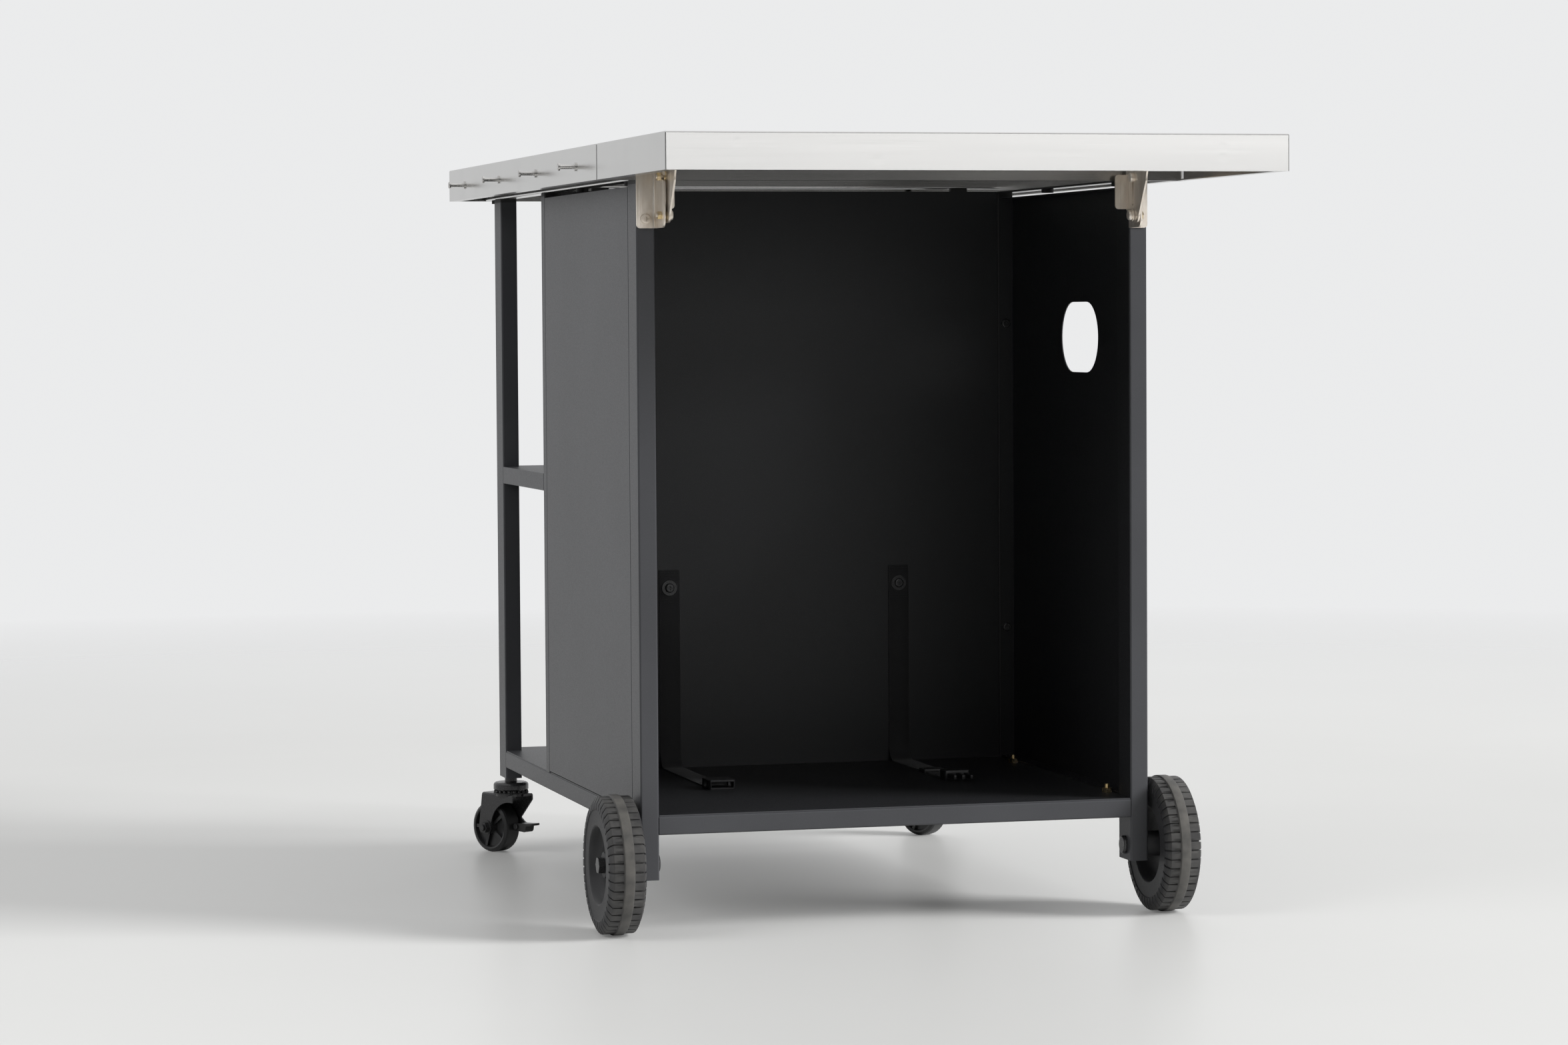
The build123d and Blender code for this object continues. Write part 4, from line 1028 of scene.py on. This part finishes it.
@dataclass
class CasterBearing:
    """The open ball race between a caster's cup and its fork."""

    wardrobe: Wardrobe
    body: str
    centre: tuple[float, float]
    race_inner: float = 17.1 * MM
    race_outer: float = 21.0 * MM
    race_z: float = 74.1 * MM
    race_wall: float = 0.5 * MM
    rim: tuple[tuple[float, float], ...] = ((1.02, 0.5 * MM), (1.004, 0.7 * MM))
    ring_radius: float = 19.3 * MM
    ball_radius: float = 2.1 * MM
    balls: int = 20

    def build(self) -> None:
        """Makes the pressed race and the ring of balls that runs in it."""
        race = self.race()
        ring = self.ball_ring()
        for piece in (race, ring):
            Bench.dress(piece, self.wardrobe.materials["black_steel"])
            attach(piece, self.body)
            LOG.info("bearing piece %s on %s", piece.name, self.body)

    def race(self) -> bpy.types.Object:
        """Returns a flat ring with an upturned rim."""
        Bench.clear()
        place = (*self.centre, self.race_z)
        bpy.ops.mesh.primitive_circle_add(vertices=48, radius=self.race_inner, location=place)
        piece = Bench.take("bearing_race_" + self.body)
        Bench.settle(piece)
        bpy.ops.object.mode_set(mode="EDIT")
        bpy.ops.mesh.select_all(action="SELECT")
        for factor, rise in ((self.race_outer / self.race_inner, 0.0), *self.rim):
            Bench.flare(factor, rise, place)
        bpy.ops.mesh.select_all(action="SELECT")
        bpy.ops.mesh.normals_make_consistent(inside=False)
        bpy.ops.object.mode_set(mode="OBJECT")
        wall = piece.modifiers.new("wall", "SOLIDIFY")
        wall.thickness = self.race_wall
        wall.offset = 0.0
        Bench.apply(piece)
        Bench.smooth(piece, 50.0)
        return piece

    def ball_ring(self) -> bpy.types.Object:
        """Returns the balls, modelled once and copied round the ring."""
        height = self.race_z + 0.5 * self.race_wall + self.ball_radius
        Bench.clear()
        bpy.ops.mesh.primitive_cube_add(size=self.ball_radius)
        first = Bench.take("bearing_balls_" + self.body)
        bpy.ops.object.mode_set(mode="EDIT")
        bpy.ops.mesh.select_all(action="SELECT")
        bpy.ops.mesh.subdivide(number_cuts=3)
        bpy.ops.object.mode_set(mode="OBJECT")
        for vertex in first.data.vertices:
            vertex.co = self.ball_radius * vertex.co.normalized()
        Bench.smooth(first, 60.0)
        pieces = [first]
        for index in range(1, self.balls):
            pieces.append(Bench.copy(first, "ball_%s_%d" % (self.body, index)))
        for index, ball in enumerate(pieces):
            turn = 2.0 * math.pi * index / self.balls
            x = self.centre[0] + self.ring_radius * math.cos(turn)
            y = self.centre[1] + self.ring_radius * math.sin(turn)
            ball.location = (x, y, height)
            Bench.settle(ball)
        return Bench.join(pieces, first.name)


@dataclass
class ShelfBoltThreads:
    """The threads that stand above the nuts on the floor of the bay."""

    wardrobe: Wardrobe
    nut_corner: float = 5.7735 * MM
    nut_flat: float = 5.0 * MM
    shown: float = 4.4 * MM
    pitch: float = 1.0 * MM
    root: float = 3.02 * MM
    crest: float = 3.3 * MM
    tip: float = 0.75
    sides: int = 20

    def build(self) -> None:
        """Makes one threaded end and copies it to every bolt."""
        low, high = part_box("shelf_bolts")
        start = high[2] - self.shown
        first = self.thread(start)
        spots = []
        for x in (low[0] + self.nut_corner, high[0] - self.nut_corner):
            for y in (low[1] + self.nut_flat, high[1] - self.nut_flat):
                spots.append((x, y))
        pieces = [first] + [Bench.copy(first, "thread_%d" % index) for index in range(1, len(spots))]
        for piece, (x, y) in zip(pieces, spots):
            piece.location = (x, y, 0.0)
            Bench.settle(piece)
        threads = Bench.join(pieces, "shelf_bolt_threads")
        Bench.dress(threads, self.wardrobe.materials["yellow_zinc"])
        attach(threads, "cart")
        LOG.info("threads on %d shelf bolts", len(spots))

    def thread(self, start: float) -> bpy.types.Object:
        """Models one threaded end as a stack of crests and roots.

        Args:
            start: the height at which it begins.

        Returns:
            The threaded end, on the Z axis.
        """
        Bench.clear()
        base = (0.0, 0.0, start)
        bpy.ops.mesh.primitive_circle_add(vertices=self.sides, radius=self.root, location=base)
        piece = Bench.take("thread_0")
        Bench.settle(piece)
        bpy.ops.object.mode_set(mode="EDIT")
        bpy.ops.mesh.select_all(action="SELECT")
        out = self.crest / self.root
        for step in range(int(2.0 * self.shown / self.pitch)):
            Bench.flare(out if step % 2 == 0 else 1.0 / out, 0.5 * self.pitch, base)
        Bench.flare(self.tip, 0.3 * self.pitch, base)
        bpy.ops.mesh.edge_face_add()
        bpy.ops.mesh.select_all(action="SELECT")
        bpy.ops.mesh.normals_make_consistent(inside=False)
        bpy.ops.object.mode_set(mode="OBJECT")
        return piece


def main() -> None:
    """Builds the scene and reports each piece."""
    logging.basicConfig(level=logging.INFO, format="%(message)s")
    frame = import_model()
    bpy.context.scene.view_settings.view_transform = "Standard"
    PhotoCamera().build()
    Studio().build()
    wardrobe = Wardrobe()
    wardrobe.dress_nodes(frame)
    BottleStrap(wardrobe).build()
    for body, centre in CASTERS.items():
        CasterBearing(wardrobe, body, centre).build()
    ShelfBoltThreads(wardrobe).build()
    for side in ("left", "right"):
        wheel = RoundedCasting(wardrobe, "front_wheel_" + side, "wheel_" + side, "wheel_plastic", LUG_EDGE)
        wheel.build(frame)
    for node in STRAP_FITTINGS:
        fitting = RoundedCasting(wardrobe, node, "cart", "buckle_plastic", FITTING_EDGE, FITTING_WIDTH)
        fitting.build(frame)


if __name__ == "__main__":
    main()
